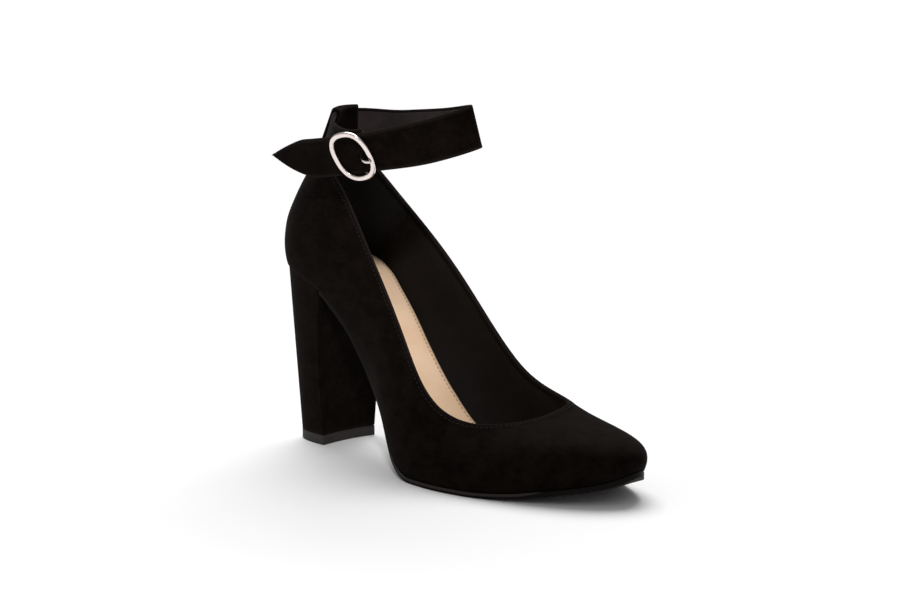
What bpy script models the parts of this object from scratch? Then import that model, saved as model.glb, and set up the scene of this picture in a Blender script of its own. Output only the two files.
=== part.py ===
"""A black suede pump with a block heel and an ankle strap, for the right foot.

The frame: X runs from heel to toe, Y to the wearer's left, which is the inner side, and Z up.
The floor is at Z = 0 and the origin is on the floor under the heel. All sizes are in millimetres.
"""

import math

import bmesh
import bpy
import numpy as np

MM = 0.001

# Driving sizes of the shoe
LENGTH = 218.0
HEEL_BACK_X = -24.0
BALL_WIDTH = 76.0
HEEL_HEIGHT = 88.0
COLLAR_HEIGHT = 141.0
WALL = 1.8
GAP = 0.3

# Outsole and insole
SOLE_THICKNESS = 2.3
SOLE_OVERHANG = 0.7
SOLE_TUCK = 0.9
SOLE_TUCK_ENDS = (0.38, 0.55)
INSOLE_THICKNESS = 2.4
INSOLE_INSET = WALL + 3 * GAP
TREAD_SKEW = 0.30
TREAD_SKEW_ALONG = 0.46
TOE_SKEW = -0.04
TOE_SKEW_ALONG = (0.76, 0.92)
TOE_SKEW_ACROSS = (-10.0, 16.0)

# Heel block and its top lift
BREAST_X = 16.0
BREAST_HOLLOW = 1.6
BREAST_BOW = 2.2
HEEL_MIDDLE_X = (BREAST_X + HEEL_BACK_X) / 2
SEAT_INSET = 0.6
LIFT_THICKNESS = 4.9
LIFT_WIDTH = 33.4
LIFT_FRONT_X = 9.6
LIFT_BACK_X = -15.4
LIFT_SIDE_FULLNESS = 0.62
LIFT_BACK_FULLNESS = 0.72

# Ankle strap and the carrier loop it runs through
STRAP_WIDTH = 20.4
STRAP_THICKNESS = 1.8
STRAP_CORNER = 0.35
STRAP_POINT = 26.0
STRAP_POINT_CURVE = 1.5
STRAP_POINT_BLUNT = 0.06
CARRIER_WIDTH = 20.0
CARRIER_THICKNESS = 1.2

# Buckle: an oval ring over the strap, its bar under it and the prong
BUCKLE_FROM_POINT = 52.8
BUCKLE_HEIGHT = 26.0
BUCKLE_WIDTH = 22.2
BUCKLE_TURN = 5.0
BUCKLE_ROUNDNESS = 2.4
BUCKLE_BAND = 2.5
BUCKLE_DEPTH = 1.9
BUCKLE_CORNER = 0.55
BAR_RADIUS = 0.7
BAR_DROP = 0.6
PRONG_RADIUS = 0.75
PRONG_HOOK_DEGREES = (190.0, 350.0)
PRONG_LEAN = 0.15
PRONG_SLANT = -17.0
PRONG_SHIFT = -1.0
RING_OUT = STRAP_THICKNESS / 2 + 2 * GAP + BUCKLE_DEPTH / 2
BAR_OUT = -(STRAP_THICKNESS / 2 + GAP + BAR_RADIUS)
HOOK_RADIUS = BAR_RADIUS + GAP + PRONG_RADIUS
HOLE_EASE = 0.4
HOLE_RADIUS = PRONG_RADIUS + GAP + HOLE_EASE
HOLE_FORWARD = 3.2

# Facets
RIBS_AROUND = 92
RIB_STEPS = 13
OUTLINE_POINTS = 720
STATION_STEP = 4.5
ROUND_STATIONS = 7
SOLE_STRIPS = 6
HEEL_SIDE_POINTS = 40
HEEL_BREAST_POINTS = 7
HEEL_LEVELS = 5
HEEL_TOP_RINGS = (0.7, 0.35)
STRAP_STATIONS = 84
STRAP_FINE_STATIONS = 1200
CARRIER_STATIONS = 9
UNDERSIDE_POINTS = 13
RING_STATIONS = 48
TUBE_SIDES = 8
SHARP_ANGLE = math.radians(40)

# The bottom of the last along its centre line: shares of the length and of the heel height
BOTTOM_PROFILE = (
    # along   height
    (0.000, 1.012),
    (0.100, 0.963),
    (0.185, 0.901),
    (0.230, 0.825),
    (0.285, 0.715),
    (0.340, 0.560),
    (0.405, 0.352),
    (0.465, 0.170),
    (0.510, 0.083),
    (0.555, 0.040),
    (0.590, SOLE_THICKNESS / HEEL_HEIGHT),
    (0.750, SOLE_THICKNESS / HEEL_HEIGHT),
    (0.830, 0.040),
    (0.885, 0.065),
    (0.930, 0.090),
    (0.960, 0.115),
    (1.000, 0.176),
)

# The ribs of the upper, from the feather edge at the sole to the topline, all round the last.
# Places along are shares of the length, places across are shares of half the ball width, negative
# on the outer side, and top_height is a share of the collar height. flare is how far the wall leans
# out at the sole and lean how far it leans in at the topline, in degrees. The arms are how far the
# rib holds each of these directions.
RIB_COLUMNS = (
    "foot_along", "foot_across", "top_along", "top_across", "top_height",
    "flare", "lean", "foot_arm", "top_arm",
)
RIBS = (
    # place             foot            top                     flare  lean  arms
    ("heel back",      (0.000, 0.000,   0.087, 0.000, 1.006,     20.0, 30.0, 19.0, 22.0)),
    ("outer counter",  (0.030, -0.400,  0.112, -0.312, 1.004,    18.0, 28.0, 19.0, 21.0)),
    ("outer heel",     (0.085, -0.610,  0.170, -0.465, 0.990,    14.0, 22.0, 19.0, 19.0)),
    ("outer breast",   (0.175, -0.670,  0.248, -0.545, 0.905,    11.0, 18.0, 18.0, 18.0)),
    ("outer arch",     (0.275, -0.645,  0.324, -0.608, 0.767,    12.0, 17.0, 18.0, 16.0)),
    ("outer waist",    (0.370, -0.648,  0.402, -0.655, 0.608,    14.0, 17.0, 18.0, 15.0)),
    ("outer tread",    (0.450, -0.825,  0.476, -0.720, 0.455,    16.0, 21.0, 15.0, 13.0)),
    ("outer joint",    (0.525, -0.958,  0.538, -0.768, 0.332,    16.0, 28.0, 12.0, 11.0)),
    ("outer ball",     (0.600, -1.000,  0.597, -0.740, 0.254,    15.0, 40.0, 11.0, 9.0)),
    ("outer vamp",     (0.685, -0.950,  0.660, -0.610, 0.220,    14.0, 54.0, 11.0, 10.0)),
    ("outer toe side", (0.780, -0.780,  0.712, -0.410, 0.220,    15.0, 66.0, 12.0, 15.0)),
    ("outer toe",      (0.876, -0.475,  0.742, -0.180, 0.228,    21.0, 74.0, 15.0, 24.0)),
    ("outer tip",      (0.957, -0.080,  0.756, 0.010, 0.236,     28.0, 77.0, 18.0, 32.0)),
    ("toe tip",        (0.993, 0.270,   0.760, 0.180, 0.244,     31.0, 77.0, 18.5, 33.0)),
    ("inner tip",      (0.964, 0.568,   0.757, 0.362, 0.251,     28.0, 75.0, 17.5, 28.0)),
    ("inner toe",      (0.881, 0.826,   0.748, 0.556, 0.257,     20.0, 69.0, 15.0, 19.0)),
    ("inner toe side", (0.790, 0.975,   0.718, 0.688, 0.263,     15.0, 60.0, 13.0, 13.0)),
    ("inner ball",     (0.690, 0.975,   0.652, 0.735, 0.284,     14.0, 46.0, 12.0, 10.0)),
    ("inner joint",    (0.600, 0.770,   0.580, 0.720, 0.338,     17.0, 32.0, 13.0, 12.0)),
    ("inner tread",    (0.510, 0.545,   0.502, 0.676, 0.453,     22.0, 24.0, 16.0, 14.0)),
    ("inner waist",    (0.410, 0.410,   0.420, 0.605, 0.603,     26.0, 18.0, 20.0, 16.0)),
    ("inner arch",     (0.300, 0.475,   0.332, 0.530, 0.743,     22.0, 18.0, 20.0, 18.0)),
    ("inner breast",   (0.185, 0.645,   0.234, 0.431, 0.8815,    12.0, 18.0, 18.0, 18.0)),
    ("inner heel",     (0.085, 0.615,   0.156, 0.386, 0.975,     14.0, 22.0, 19.0, 19.0)),
    ("inner counter",  (0.030, 0.400,   0.110, 0.303, 1.002,     18.0, 28.0, 19.0, 21.0)),
)

# The strap's middle line: from its end under the buckle's bar, back along the outer side behind the
# free end, round the heel through the carrier, forward along the inner side, round the fold at the
# front, and back through the buckle to its free point. lean is how far its top edge leans in, in degrees.
STRAP_COLUMNS = ("x", "y", "z", "lean")
STRAP_ROUTE = (
    ("lap end",      (57.6, -29.0, 152.3, -24.0)),
    ("under bar",    (50.5, -30.0, 151.3, -25.0)),
    ("outer inside", (29.6, -25.0, 151.2, -4.0)),
    ("outer back",   (8.2, -10.6, 153.3, 18.0)),
    ("carrier",      (2.2, 0.0, 154.0, 24.0)),
    ("inner back",   (8.2, 10.6, 153.9, 18.0)),
    ("inner side",   (26.0, 16.8, 153.5, 10.0)),
    ("inner middle", (46.0, 14.6, 155.5, 8.0)),
    ("inner front",  (74.0, 8.6, 159.4, 12.0)),
    ("fold inside",  (94.6, 2.6, 163.0, 13.5)),
    ("fold",         (98.7, 0.0, 163.4, 13.0)),
    ("fold outside", (97.2, -4.2, 162.0, 11.5)),
    ("outer front",  (88.2, -18.2, 157.5, 2.0)),
    ("outer turn",   (77.4, -26.8, 154.4, -12.0)),
    ("buckle front", (60.5, -33.2, 150.8, -24.0)),
    ("buckle back",  (36.5, -37.4, 146.6, -24.0)),
    ("free end",     (20.0, -39.6, 144.6, -22.0)),
    ("point",        (2.4, -41.0, 144.8, -18.0)),
)

# Colours are linear
SUEDE_BLACK = (0.012, 0.011, 0.012)
SOLE_BROWN_BLACK = (0.05, 0.04, 0.038)
INSOLE_TAN = (0.67, 0.46, 0.27)
LIFT_GREY = (0.07, 0.062, 0.06)
NICKEL = (0.78, 0.74, 0.70)


def table_rows(table):
    """The numbers of a table whose rows start with a place name."""
    return np.array([numbers for _, numbers in table])


def unit(vectors):
    return vectors / np.linalg.norm(vectors, axis=-1, keepdims=True)


def smoothstep(low, high, value):
    share = np.clip((value - low) / (high - low), 0.0, 1.0)
    return share * share * (3.0 - 2.0 * share)


def lengths_along(points):
    return np.concatenate([[0.0], np.cumsum(np.linalg.norm(np.diff(points, axis=0), axis=1))])


def even_spaced(points, lengths, count):
    """The same line with its points evenly spaced along it."""
    wanted = np.linspace(0.0, lengths[-1], count)
    return np.column_stack([np.interp(wanted, lengths, column) for column in points.T])


def monotone_curve(places, values):
    """A cubic through the points that never overshoots them, and stays flat between equal values."""
    steps = np.diff(places)
    slopes = np.diff(values) / steps
    tangents = np.zeros(len(places))
    tangents[0], tangents[-1] = slopes[0], slopes[-1]
    for i in range(1, len(places) - 1):
        if slopes[i - 1] * slopes[i] > 0.0:
            before, after = 2 * steps[i] + steps[i - 1], steps[i] + 2 * steps[i - 1]
            tangents[i] = (before + after) / (before / slopes[i - 1] + after / slopes[i])

    def value_at(place):
        i = np.clip(np.searchsorted(places, place, side="right") - 1, 0, len(steps) - 1)
        s = (place - places[i]) / steps[i]
        return (
            values[i] * (1 + 2 * s) * (1 - s) ** 2
            + values[i + 1] * s * s * (3 - 2 * s)
            + steps[i] * (tangents[i] * s * (1 - s) ** 2 + tangents[i + 1] * s * s * (s - 1))
        )

    return value_at


def chord_knots(points, closed):
    """Curve parameters that keep a smooth curve from looping between unevenly spaced points."""
    ends = np.vstack([points, points[:1]]) if closed else points
    chords = np.linalg.norm(np.diff(ends, axis=0), axis=1)
    return np.concatenate([[0.0], np.cumsum(np.sqrt(chords))])


def smooth_curve(knots, rows, closed):
    """A curve with a continuous bend through the rows, which have one column for each value."""
    count, steps = len(rows), np.diff(knots)
    system, right = np.zeros((count, count)), np.zeros_like(rows)
    for i in range(count):
        if not closed and i in (0, count - 1):
            system[i, i] = 1.0
            continue
        before, after = steps[i - 1], steps[i]
        system[i, (i - 1) % count] += before
        system[i, i] += 2 * (before + after)
        system[i, (i + 1) % count] += after
        right[i] = 6 * ((rows[(i + 1) % count] - rows[i]) / after - (rows[i] - rows[i - 1]) / before)
    bends = np.linalg.solve(system, right)

    def value_at(places):
        places = np.mod(places, knots[-1]) if closed else np.asarray(places)
        i = np.clip(np.searchsorted(knots, places, side="right") - 1, 0, len(steps) - 1)
        j = (i + 1) % count
        step = steps[i][:, None]
        b = (places - knots[i])[:, None] / step
        a = 1 - b
        return a * rows[i] + b * rows[j] + ((a**3 - a) * bends[i] + (b**3 - b) * bends[j]) * step**2 / 6

    return value_at


def along_x(share):
    return HEEL_BACK_X + LENGTH * np.asarray(share)


# The last: its bottom, and the ribs of the upper round it
PROFILE_X = along_x([row[0] for row in BOTTOM_PROFILE])
PROFILE_HEIGHT = monotone_curve(PROFILE_X, HEEL_HEIGHT * np.array([row[1] for row in BOTTOM_PROFILE]))
RIB_ROWS = table_rows(RIBS)
RIB_FEET = np.column_stack([along_x(RIB_ROWS[:, 0]), RIB_ROWS[:, 1] * BALL_WIDTH / 2])
RIB_KNOTS = chord_knots(RIB_FEET, closed=True)
RIB_CURVE = smooth_curve(RIB_KNOTS, RIB_ROWS, closed=True)


def bottom_height(x, y):
    """Height of the last's bottom: the tread line runs aslant, further forward on the inner side.

    Under the inner side of the toe it runs nearly square.
    """
    inner_toe = smoothstep(*along_x(TOE_SKEW_ALONG), x) * smoothstep(*TOE_SKEW_ACROSS, y)
    skew = TREAD_SKEW * smoothstep(BREAST_X, along_x(TREAD_SKEW_ALONG), x)
    skew = skew + (TOE_SKEW - TREAD_SKEW) * inner_toe
    return PROFILE_HEIGHT(np.clip(x - skew * y, PROFILE_X[0], PROFILE_X[-1]))


def bottom_stretch(x, y):
    """How much longer than its square thickness a layer is when it is measured straight up."""
    reach = 0.5
    slope = (bottom_height(x + reach, y) - bottom_height(x - reach, y)) / (2 * reach)
    return np.sqrt(1.0 + slope**2)


def rib_values(places):
    """The rib table's columns by name, in millimetres and radians, at places round the last."""
    rib = dict(zip(RIB_COLUMNS, RIB_CURVE(places).T))
    for end in ("foot", "top"):
        rib[end + "_x"] = along_x(rib[end + "_along"])
        rib[end + "_y"] = rib[end + "_across"] * BALL_WIDTH / 2
    rib["top_z"] = rib["top_height"] * COLLAR_HEIGHT
    rib["flare"], rib["lean"] = np.radians(rib["flare"]), np.radians(rib["lean"])
    return rib


def feather_edge(places):
    """The upper's lower edge in plan, and the direction out of it."""
    reach = 0.01
    rib, ahead, behind = rib_values(places), rib_values(places + reach), rib_values(places - reach)
    edge = np.column_stack([rib["foot_x"], rib["foot_y"]])
    out = np.column_stack([behind["foot_y"] - ahead["foot_y"], ahead["foot_x"] - behind["foot_x"]])
    return edge, -unit(out) if out[0, 0] > 0 else unit(out)


def upper_surface(places, steps):
    """Points of the upper's outside: a row for each place round the last, from the sole to the topline."""
    rib = rib_values(places)
    edge, plan_out = feather_edge(places)
    out = np.column_stack([plan_out, np.zeros(len(places))])
    up = np.array([0.0, 0.0, 1.0])
    flare, lean = rib["flare"][:, None], rib["lean"][:, None]
    foot = np.column_stack([edge, bottom_height(edge[:, 0], edge[:, 1]) + GAP])
    top = np.column_stack([rib["top_x"], rib["top_y"], rib["top_z"]])
    foot_guide = foot + rib["foot_arm"][:, None] * (out * np.sin(flare) + up * np.cos(flare))
    top_guide = top + rib["top_arm"][:, None] * (out * np.sin(lean) - up * np.cos(lean))
    t = np.linspace(0.0, 1.0, steps + 1)[None, :, None]
    return (
        foot[:, None] * (1 - t) ** 3
        + 3 * foot_guide[:, None] * t * (1 - t) ** 2
        + 3 * top_guide[:, None] * t**2 * (1 - t)
        + top[:, None] * t**3
    )


def topline():
    """Points along the upper's top edge."""
    rib = rib_values(np.linspace(0.0, RIB_KNOTS[-1], OUTLINE_POINTS, endpoint=False))
    return np.column_stack([rib["top_x"], rib["top_y"], rib["top_z"]])


def wall_inside(outside):
    """The inside of the upper's wall, square to its outside and cut off level with the sole."""
    around = np.roll(outside, -1, axis=0) - np.roll(outside, 1, axis=0)
    normals = unit(np.cross(around, np.gradient(outside, axis=1)))
    if np.sum(normals * (outside - outside.mean(axis=(0, 1)))) < 0:
        normals = -normals
    inside = outside - WALL * normals
    inside[:, 0, 2] = bottom_height(inside[:, 0, 0], inside[:, 0, 1]) + GAP
    return inside


def plan_outline(outset):
    """The feather edge in plan, moved out by outset: its outer half and its inner half, heel to toe."""
    places = np.linspace(0.0, RIB_KNOTS[-1], OUTLINE_POINTS, endpoint=False)
    edge, out = feather_edge(places)
    edge = edge + out * np.reshape(outset(edge[:, 0]), (-1, 1))
    tip, back = int(np.argmax(edge[:, 0])), int(np.argmin(edge[:, 0]))
    edge = np.roll(edge, -back, axis=0)
    tip = (tip - back) % len(edge)
    return edge[: tip + 1], np.vstack([edge[tip:], edge[:1]])[::-1]


def new_object(name, points, faces, material):
    """A closed mesh object from points in millimetres, facing out."""
    mesh = bpy.data.meshes.new(name)
    mesh.from_pydata([tuple(point) for point in np.asarray(points) * MM], [], faces)
    bm = bmesh.new()
    bm.from_mesh(mesh)
    bmesh.ops.recalc_face_normals(bm, faces=bm.faces)
    bm.to_mesh(mesh)
    bm.free()
    mesh.shade_smooth()
    mesh.set_sharp_from_angle(angle=SHARP_ANGLE)
    mesh.materials.append(material)
    made = bpy.data.objects.new(name, mesh)
    bpy.context.scene.collection.objects.link(made)
    return made


def ring_faces(rings, size, closed):
    """Quads between rings of the same size that follow each other in one list of points."""
    faces = []
    for r in range(rings if closed else rings - 1):
        here, there = r * size, ((r + 1) % rings) * size
        for k in range(size):
            n = (k + 1) % size
            faces.append((here + k, here + n, there + n, there + k))
    return faces


def prism(name, rings, material):
    """A solid through rings of the same size, closed by a face at both ends."""
    rings = np.asarray(rings)
    count, size = rings.shape[:2]
    last = (count - 1) * size
    ends = [tuple(range(size)), tuple(range(last, last + size))]
    return new_object(name, rings.reshape(-1, 3), ring_faces(count, size, closed=False) + ends, material)


def hoop(name, rings, material):
    """A solid through rings of the same size, the last of which meets the first."""
    rings = np.asarray(rings)
    count, size = rings.shape[:2]
    return new_object(name, rings.reshape(-1, 3), ring_faces(count, size, closed=True), material)


def tube(name, path, radius, sideways, material):
    """A round bar along a path of points, with its facets counted from the sideways direction."""
    path = np.asarray(path)
    along = unit(np.gradient(path, axis=0))
    across = unit(np.cross(along, sideways))
    third = np.cross(along, across)
    turns = np.linspace(0.0, 2 * math.pi, TUBE_SIDES, endpoint=False)
    rings = [across * math.cos(turn) + third * math.sin(turn) for turn in turns]
    return prism(name, path[:, None] + radius * np.stack(rings, axis=1), material)


def boolean(target, other, operation):
    """Join or cut target with other, which is used up."""
    modifier = target.modifiers.new("boolean", "BOOLEAN")
    modifier.operation, modifier.solver, modifier.object = operation, "EXACT", other
    made = bpy.data.meshes.new_from_object(target.evaluated_get(bpy.context.evaluated_depsgraph_get()))
    target.modifiers.clear()
    target.data = made
    bpy.data.objects.remove(other)


def build_upper(material):
    places = np.linspace(0.0, RIB_KNOTS[-1], RIBS_AROUND, endpoint=False)
    outside = upper_surface(places, RIB_STEPS)
    return hoop("upper", np.concatenate([outside, wall_inside(outside)[:, ::-1]], axis=1), material)


def layer_stations(low, high, rounded_low):
    """Stations along X: even ones that every layer shares, and closer ones towards a rounded end."""
    clear = 3 * STATION_STEP
    even = np.arange(BREAST_X, high - clear, STATION_STEP)
    if rounded_low:
        even = np.concatenate([np.arange(BREAST_X - STATION_STEP, low + clear, -STATION_STEP)[::-1], even])
    swing = np.sin(np.linspace(0.0, math.pi / 2, ROUND_STATIONS)[1:])
    toe = even[-1] + (high - even[-1]) * swing
    heel = (even[0] - (even[0] - low) * swing)[::-1] if rounded_low else [low]
    return np.concatenate([heel, even[even > heel[-1] + GAP], toe])


def build_layer(name, outset, low, top, bottom, material):
    """A layer of the bottom between two heights; an end where its edges meet is a single point."""
    outer, inner = plan_outline(outset)
    rounded_low = low is None
    stations = layer_stations(outer[0, 0] if rounded_low else low, outer[-1, 0], rounded_low)
    across = np.linspace(0.0, 1.0, SOLE_STRIPS + 1)
    points, index = [], {}
    for side, height in enumerate((top, bottom)):
        for i, x in enumerate(stations):
            first, last = np.interp(x, outer[:, 0], outer[:, 1]), np.interp(x, inner[:, 0], inner[:, 1])
            pinched = last - first < GAP
            y = np.full(1, (first + last) / 2) if pinched else first + (last - first) * across
            row = np.column_stack([np.full_like(y, x), y, height(np.full_like(y, x), y)])
            for k in range(len(across)):
                index[side, i, k] = len(points) + (0 if pinched else k)
            points.extend(row)
    faces = []

    def add(*corners):
        ring = list(dict.fromkeys(index[corner] for corner in corners))
        if len(ring) > 2:
            faces.append(ring)

    end = len(stations) - 1
    for k in range(SOLE_STRIPS):
        for i in range(end):
            add((0, i, k), (0, i + 1, k), (0, i + 1, k + 1), (0, i, k + 1))
            add((1, i, k), (1, i, k + 1), (1, i + 1, k + 1), (1, i + 1, k))
        for i in (0, end):
            add((0, i, k), (0, i, k + 1), (1, i, k + 1), (1, i, k))
    for k in (0, SOLE_STRIPS):
        for i in range(end):
            add((0, i, k), (0, i + 1, k), (1, i + 1, k), (1, i, k))
    return new_object(name, points, faces, material)


def build_outsole(material):
    """The sole from heel breast to toe, proud of the upper at the tread and tucked in at the waist."""
    tuck_low, tuck_high = along_x(SOLE_TUCK_ENDS)

    def outset(x):
        return (SOLE_OVERHANG + SOLE_TUCK) * smoothstep(tuck_low, tuck_high, x) - SOLE_TUCK

    def underside(x, y):
        return bottom_height(x, y) - SOLE_THICKNESS * bottom_stretch(x, y)

    return build_layer("outsole", outset, BREAST_X + GAP, bottom_height, underside, material)


def build_insole(material):
    """The insole, clear of the upper's wall all round."""

    def inset(x):
        return np.full_like(x, -INSOLE_INSET)

    def underside(x, y):
        return bottom_height(x, y) + GAP

    def topside(x, y):
        return underside(x, y) + INSOLE_THICKNESS * bottom_stretch(x, y)

    return build_layer("insole", inset, None, topside, underside, material)


def seat_line():
    """The heel seat's edge in plan from the outer breast corner round the back to the inner one."""
    outer, inner = plan_outline(lambda x: np.full_like(x, -SEAT_INSET))
    outer, inner = outer[outer[:, 0] < BREAST_X], inner[inner[:, 0] < BREAST_X]
    line = np.vstack([outer[::-1], inner[1:]])
    line[[0, -1], 0] = BREAST_X
    return even_spaced(line, lengths_along(line), HEEL_SIDE_POINTS)


def lift_line():
    """The heel's edge at the floor: nearly straight sides that round into the back."""
    swing = np.linspace(-math.pi / 2, math.pi / 2, HEEL_SIDE_POINTS * 3)
    across = np.sign(swing) * np.abs(np.sin(swing)) ** LIFT_SIDE_FULLNESS
    back = np.abs(np.cos(swing)) ** LIFT_BACK_FULLNESS
    line = np.column_stack([LIFT_FRONT_X + (LIFT_BACK_X - LIFT_FRONT_X) * back, across * LIFT_WIDTH / 2])
    return even_spaced(line, lengths_along(line), HEEL_SIDE_POINTS)


def heel_outline(rise):
    """The heel in plan from the lift, at rise 0, to the seat, at rise 1: sides, then the hollow breast.

    The breast is bowed back a little between the two.
    """
    seat, lift = seat_line(), lift_line()
    sides = lift + (seat - lift) * rise
    towards_breast = smoothstep(HEEL_MIDDLE_X, BREAST_X, sides[:, 0])
    sides[:, 0] -= BREAST_BOW * 4 * rise * (1 - rise) * towards_breast
    share = np.linspace(0.0, 1.0, HEEL_BREAST_POINTS + 2)[1:-1]
    breast = sides[-1] + (sides[0] - sides[-1]) * share[:, None]
    breast[:, 0] -= BREAST_HOLLOW * (1 - rise) * 4 * share * (1 - share)
    return np.vstack([sides, breast])


def build_heel(material):
    """The block from the top lift to the seat, whose top follows the last's bottom."""
    floor_z = LIFT_THICKNESS + GAP
    rings = []
    for rise in np.linspace(0.0, 1.0, HEEL_LEVELS):
        plan = heel_outline(rise)
        seat_z = bottom_height(plan[:, 0], plan[:, 1])
        rings.append(np.column_stack([plan, floor_z + (seat_z - floor_z) * rise]))
    middle = np.array([[HEEL_MIDDLE_X, 0.0]])
    for share in (*HEEL_TOP_RINGS, 0.0):
        plan = middle + (heel_outline(1.0) - middle) * share
        rings.append(np.column_stack([plan, bottom_height(plan[:, 0], plan[:, 1])]))
    crown = rings.pop()[:1]
    size = len(rings[0])
    last = (len(rings) - 1) * size
    faces = ring_faces(len(rings), size, closed=False) + [tuple(range(size))]
    faces += [(last + k, last + (k + 1) % size, last + size) for k in range(size)]
    return new_object("heel", np.vstack([*rings, crown]), faces, material)


def build_top_lift(material):
    plan = heel_outline(0.0)
    rings = [np.column_stack([plan, np.full(len(plan), z)]) for z in (0.0, LIFT_THICKNESS)]
    return prism("top_lift", rings, material)


class Strap:
    """Evenly spaced stations of the strap: its middle line, lengths, and directions along, out and up."""

    def __init__(self, count):
        rows = table_rows(STRAP_ROUTE)
        knots = chord_knots(rows[:, :3], closed=False)
        fine = smooth_curve(knots, rows, closed=False)(np.linspace(0.0, knots[-1], STRAP_FINE_STATIONS))
        values = even_spaced(fine, lengths_along(fine[:, :3]), count)
        route = dict(zip(STRAP_COLUMNS, values.T))
        lean = np.radians(route["lean"])[:, None]
        self.middle = np.column_stack([route["x"], route["y"], route["z"]])
        self.lengths = lengths_along(self.middle)
        self.along = unit(np.gradient(self.middle, axis=0))
        level_out = unit(np.column_stack([-self.along[:, 1], self.along[:, 0], np.zeros(count)]))
        upright = np.cross(level_out, self.along)
        self.up = -upright * np.cos(lean) - level_out * np.sin(lean)
        self.out = np.cross(self.up, self.along)

    def station_at(self, length):
        return int(np.argmin(np.abs(self.lengths - length)))

    def half_widths(self):
        """Half the width along the strap, drawn in to a blunt point at its free end."""
        point_start = self.lengths[-1] - STRAP_POINT
        into_point = np.clip((self.lengths - point_start) / STRAP_POINT, 0.0, 1.0)
        return STRAP_WIDTH / 2 * np.maximum(1 - into_point**STRAP_POINT_CURVE, STRAP_POINT_BLUNT)

    def section(self, station, shape):
        """A ring at a station from a shape of distances out of the middle and up from it."""
        return [self.middle[station] + self.out[station] * out + self.up[station] * up for out, up in shape]


def turned(forward, up, degrees):
    """Two directions square to each other, turned together from forward towards up."""
    turn = math.radians(degrees)
    return forward * math.cos(turn) + up * math.sin(turn), up * math.cos(turn) - forward * math.sin(turn)


class BucklePlace:
    """The buckle's own directions on the strap, forward, up and out of its face, and its prong's."""

    def __init__(self, strap):
        station = strap.station_at(strap.lengths[-1] - BUCKLE_FROM_POINT)
        self.middle, self.out = strap.middle[station], strap.out[station]
        self.forward, self.up = turned(-strap.along[station], strap.up[station], BUCKLE_TURN)
        self.prong_along, self.prong_side = turned(self.forward, self.up, PRONG_SLANT)

    def point(self, forward, up, out):
        return self.middle + self.forward * forward + self.up * up + self.out * out

    def prong_point(self, along, side, out):
        """A place on the prong's line, which slants down from its seat on the bar."""
        seat = self.middle + self.up * PRONG_SHIFT
        return seat + self.prong_along * along + self.prong_side * side + self.out * out


def build_strap(place, material):
    """The strap with the hole that the prong comes through and the slot for its hook."""
    strap = Strap(STRAP_STATIONS)
    face, side = STRAP_THICKNESS / 2, STRAP_THICKNESS / 2 - STRAP_CORNER
    rings = []
    for station, half in enumerate(strap.half_widths()):
        edge = max(half - STRAP_CORNER, GAP)
        rings.append(strap.section(station, (
            (face, -edge), (face, 0.0), (face, edge), (side, half), (-side, half),
            (-face, edge), (-face, 0.0), (-face, -edge), (-side, -half), (side, -half),
        )))
    made = prism("ankle_strap", rings, material)
    through = (-face - GAP, face + 2 * GAP)
    hole = [place.prong_point(HOLE_FORWARD, 0.0, out) for out in through]
    boolean(made, tube("hole", hole, HOLE_RADIUS, place.prong_side, material), "DIFFERENCE")
    half_length, half_slot = HOOK_RADIUS + PRONG_RADIUS + GAP, PRONG_RADIUS + 2 * GAP
    corners = (
        (-half_length, -half_slot), (half_length, -half_slot),
        (half_length, half_slot), (-half_length, half_slot),
    )
    slot_depths = (BAR_OUT - BAR_RADIUS - 2 * STRAP_THICKNESS, BAR_OUT - BAR_RADIUS)
    slot = [[place.prong_point(along, side, out) for along, side in corners] for out in slot_depths]
    boolean(made, prism("slot", slot, material), "DIFFERENCE")
    return made


def build_carrier(material):
    """The loop that the strap runs through, with a thick foot that follows the collar's rim."""
    strap = Strap(STRAP_FINE_STATIONS)
    home = np.array(dict(STRAP_ROUTE)["carrier"][:3])
    centre = strap.lengths[np.argmin(np.linalg.norm(strap.middle - home, axis=1))]
    near, low = STRAP_THICKNESS / 2 + GAP, STRAP_WIDTH / 2 + GAP
    far, high = near + CARRIER_THICKNESS, low + CARRIER_THICKNESS
    inside = ((near, -low), (near, 0.0), (near, low), (-near, low), (-near, 0.0), (-near, -low))
    underside = [(out, -high) for out in np.linspace(-far, far, UNDERSIDE_POINTS)]
    reaches = np.linspace(-CARRIER_WIDTH / 2, CARRIER_WIDTH / 2, CARRIER_STATIONS)
    stations = [strap.station_at(centre + reach) for reach in reaches]
    rim = topline()
    rings = []
    for station in stations:
        to_rim = rim[:, None] - np.array(strap.section(station, underside))
        foot = high + np.linalg.norm(to_rim, axis=2).min() - GAP
        outside = ((far, -foot), (far, 0.0), (far, high), (-far, high), (-far, 0.0), (-far, -foot))
        rings.append(strap.section(station, outside))
    rings += [strap.section(station, inside) for station in reversed(stations)]
    return hoop("strap_carrier", rings, material)


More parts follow.
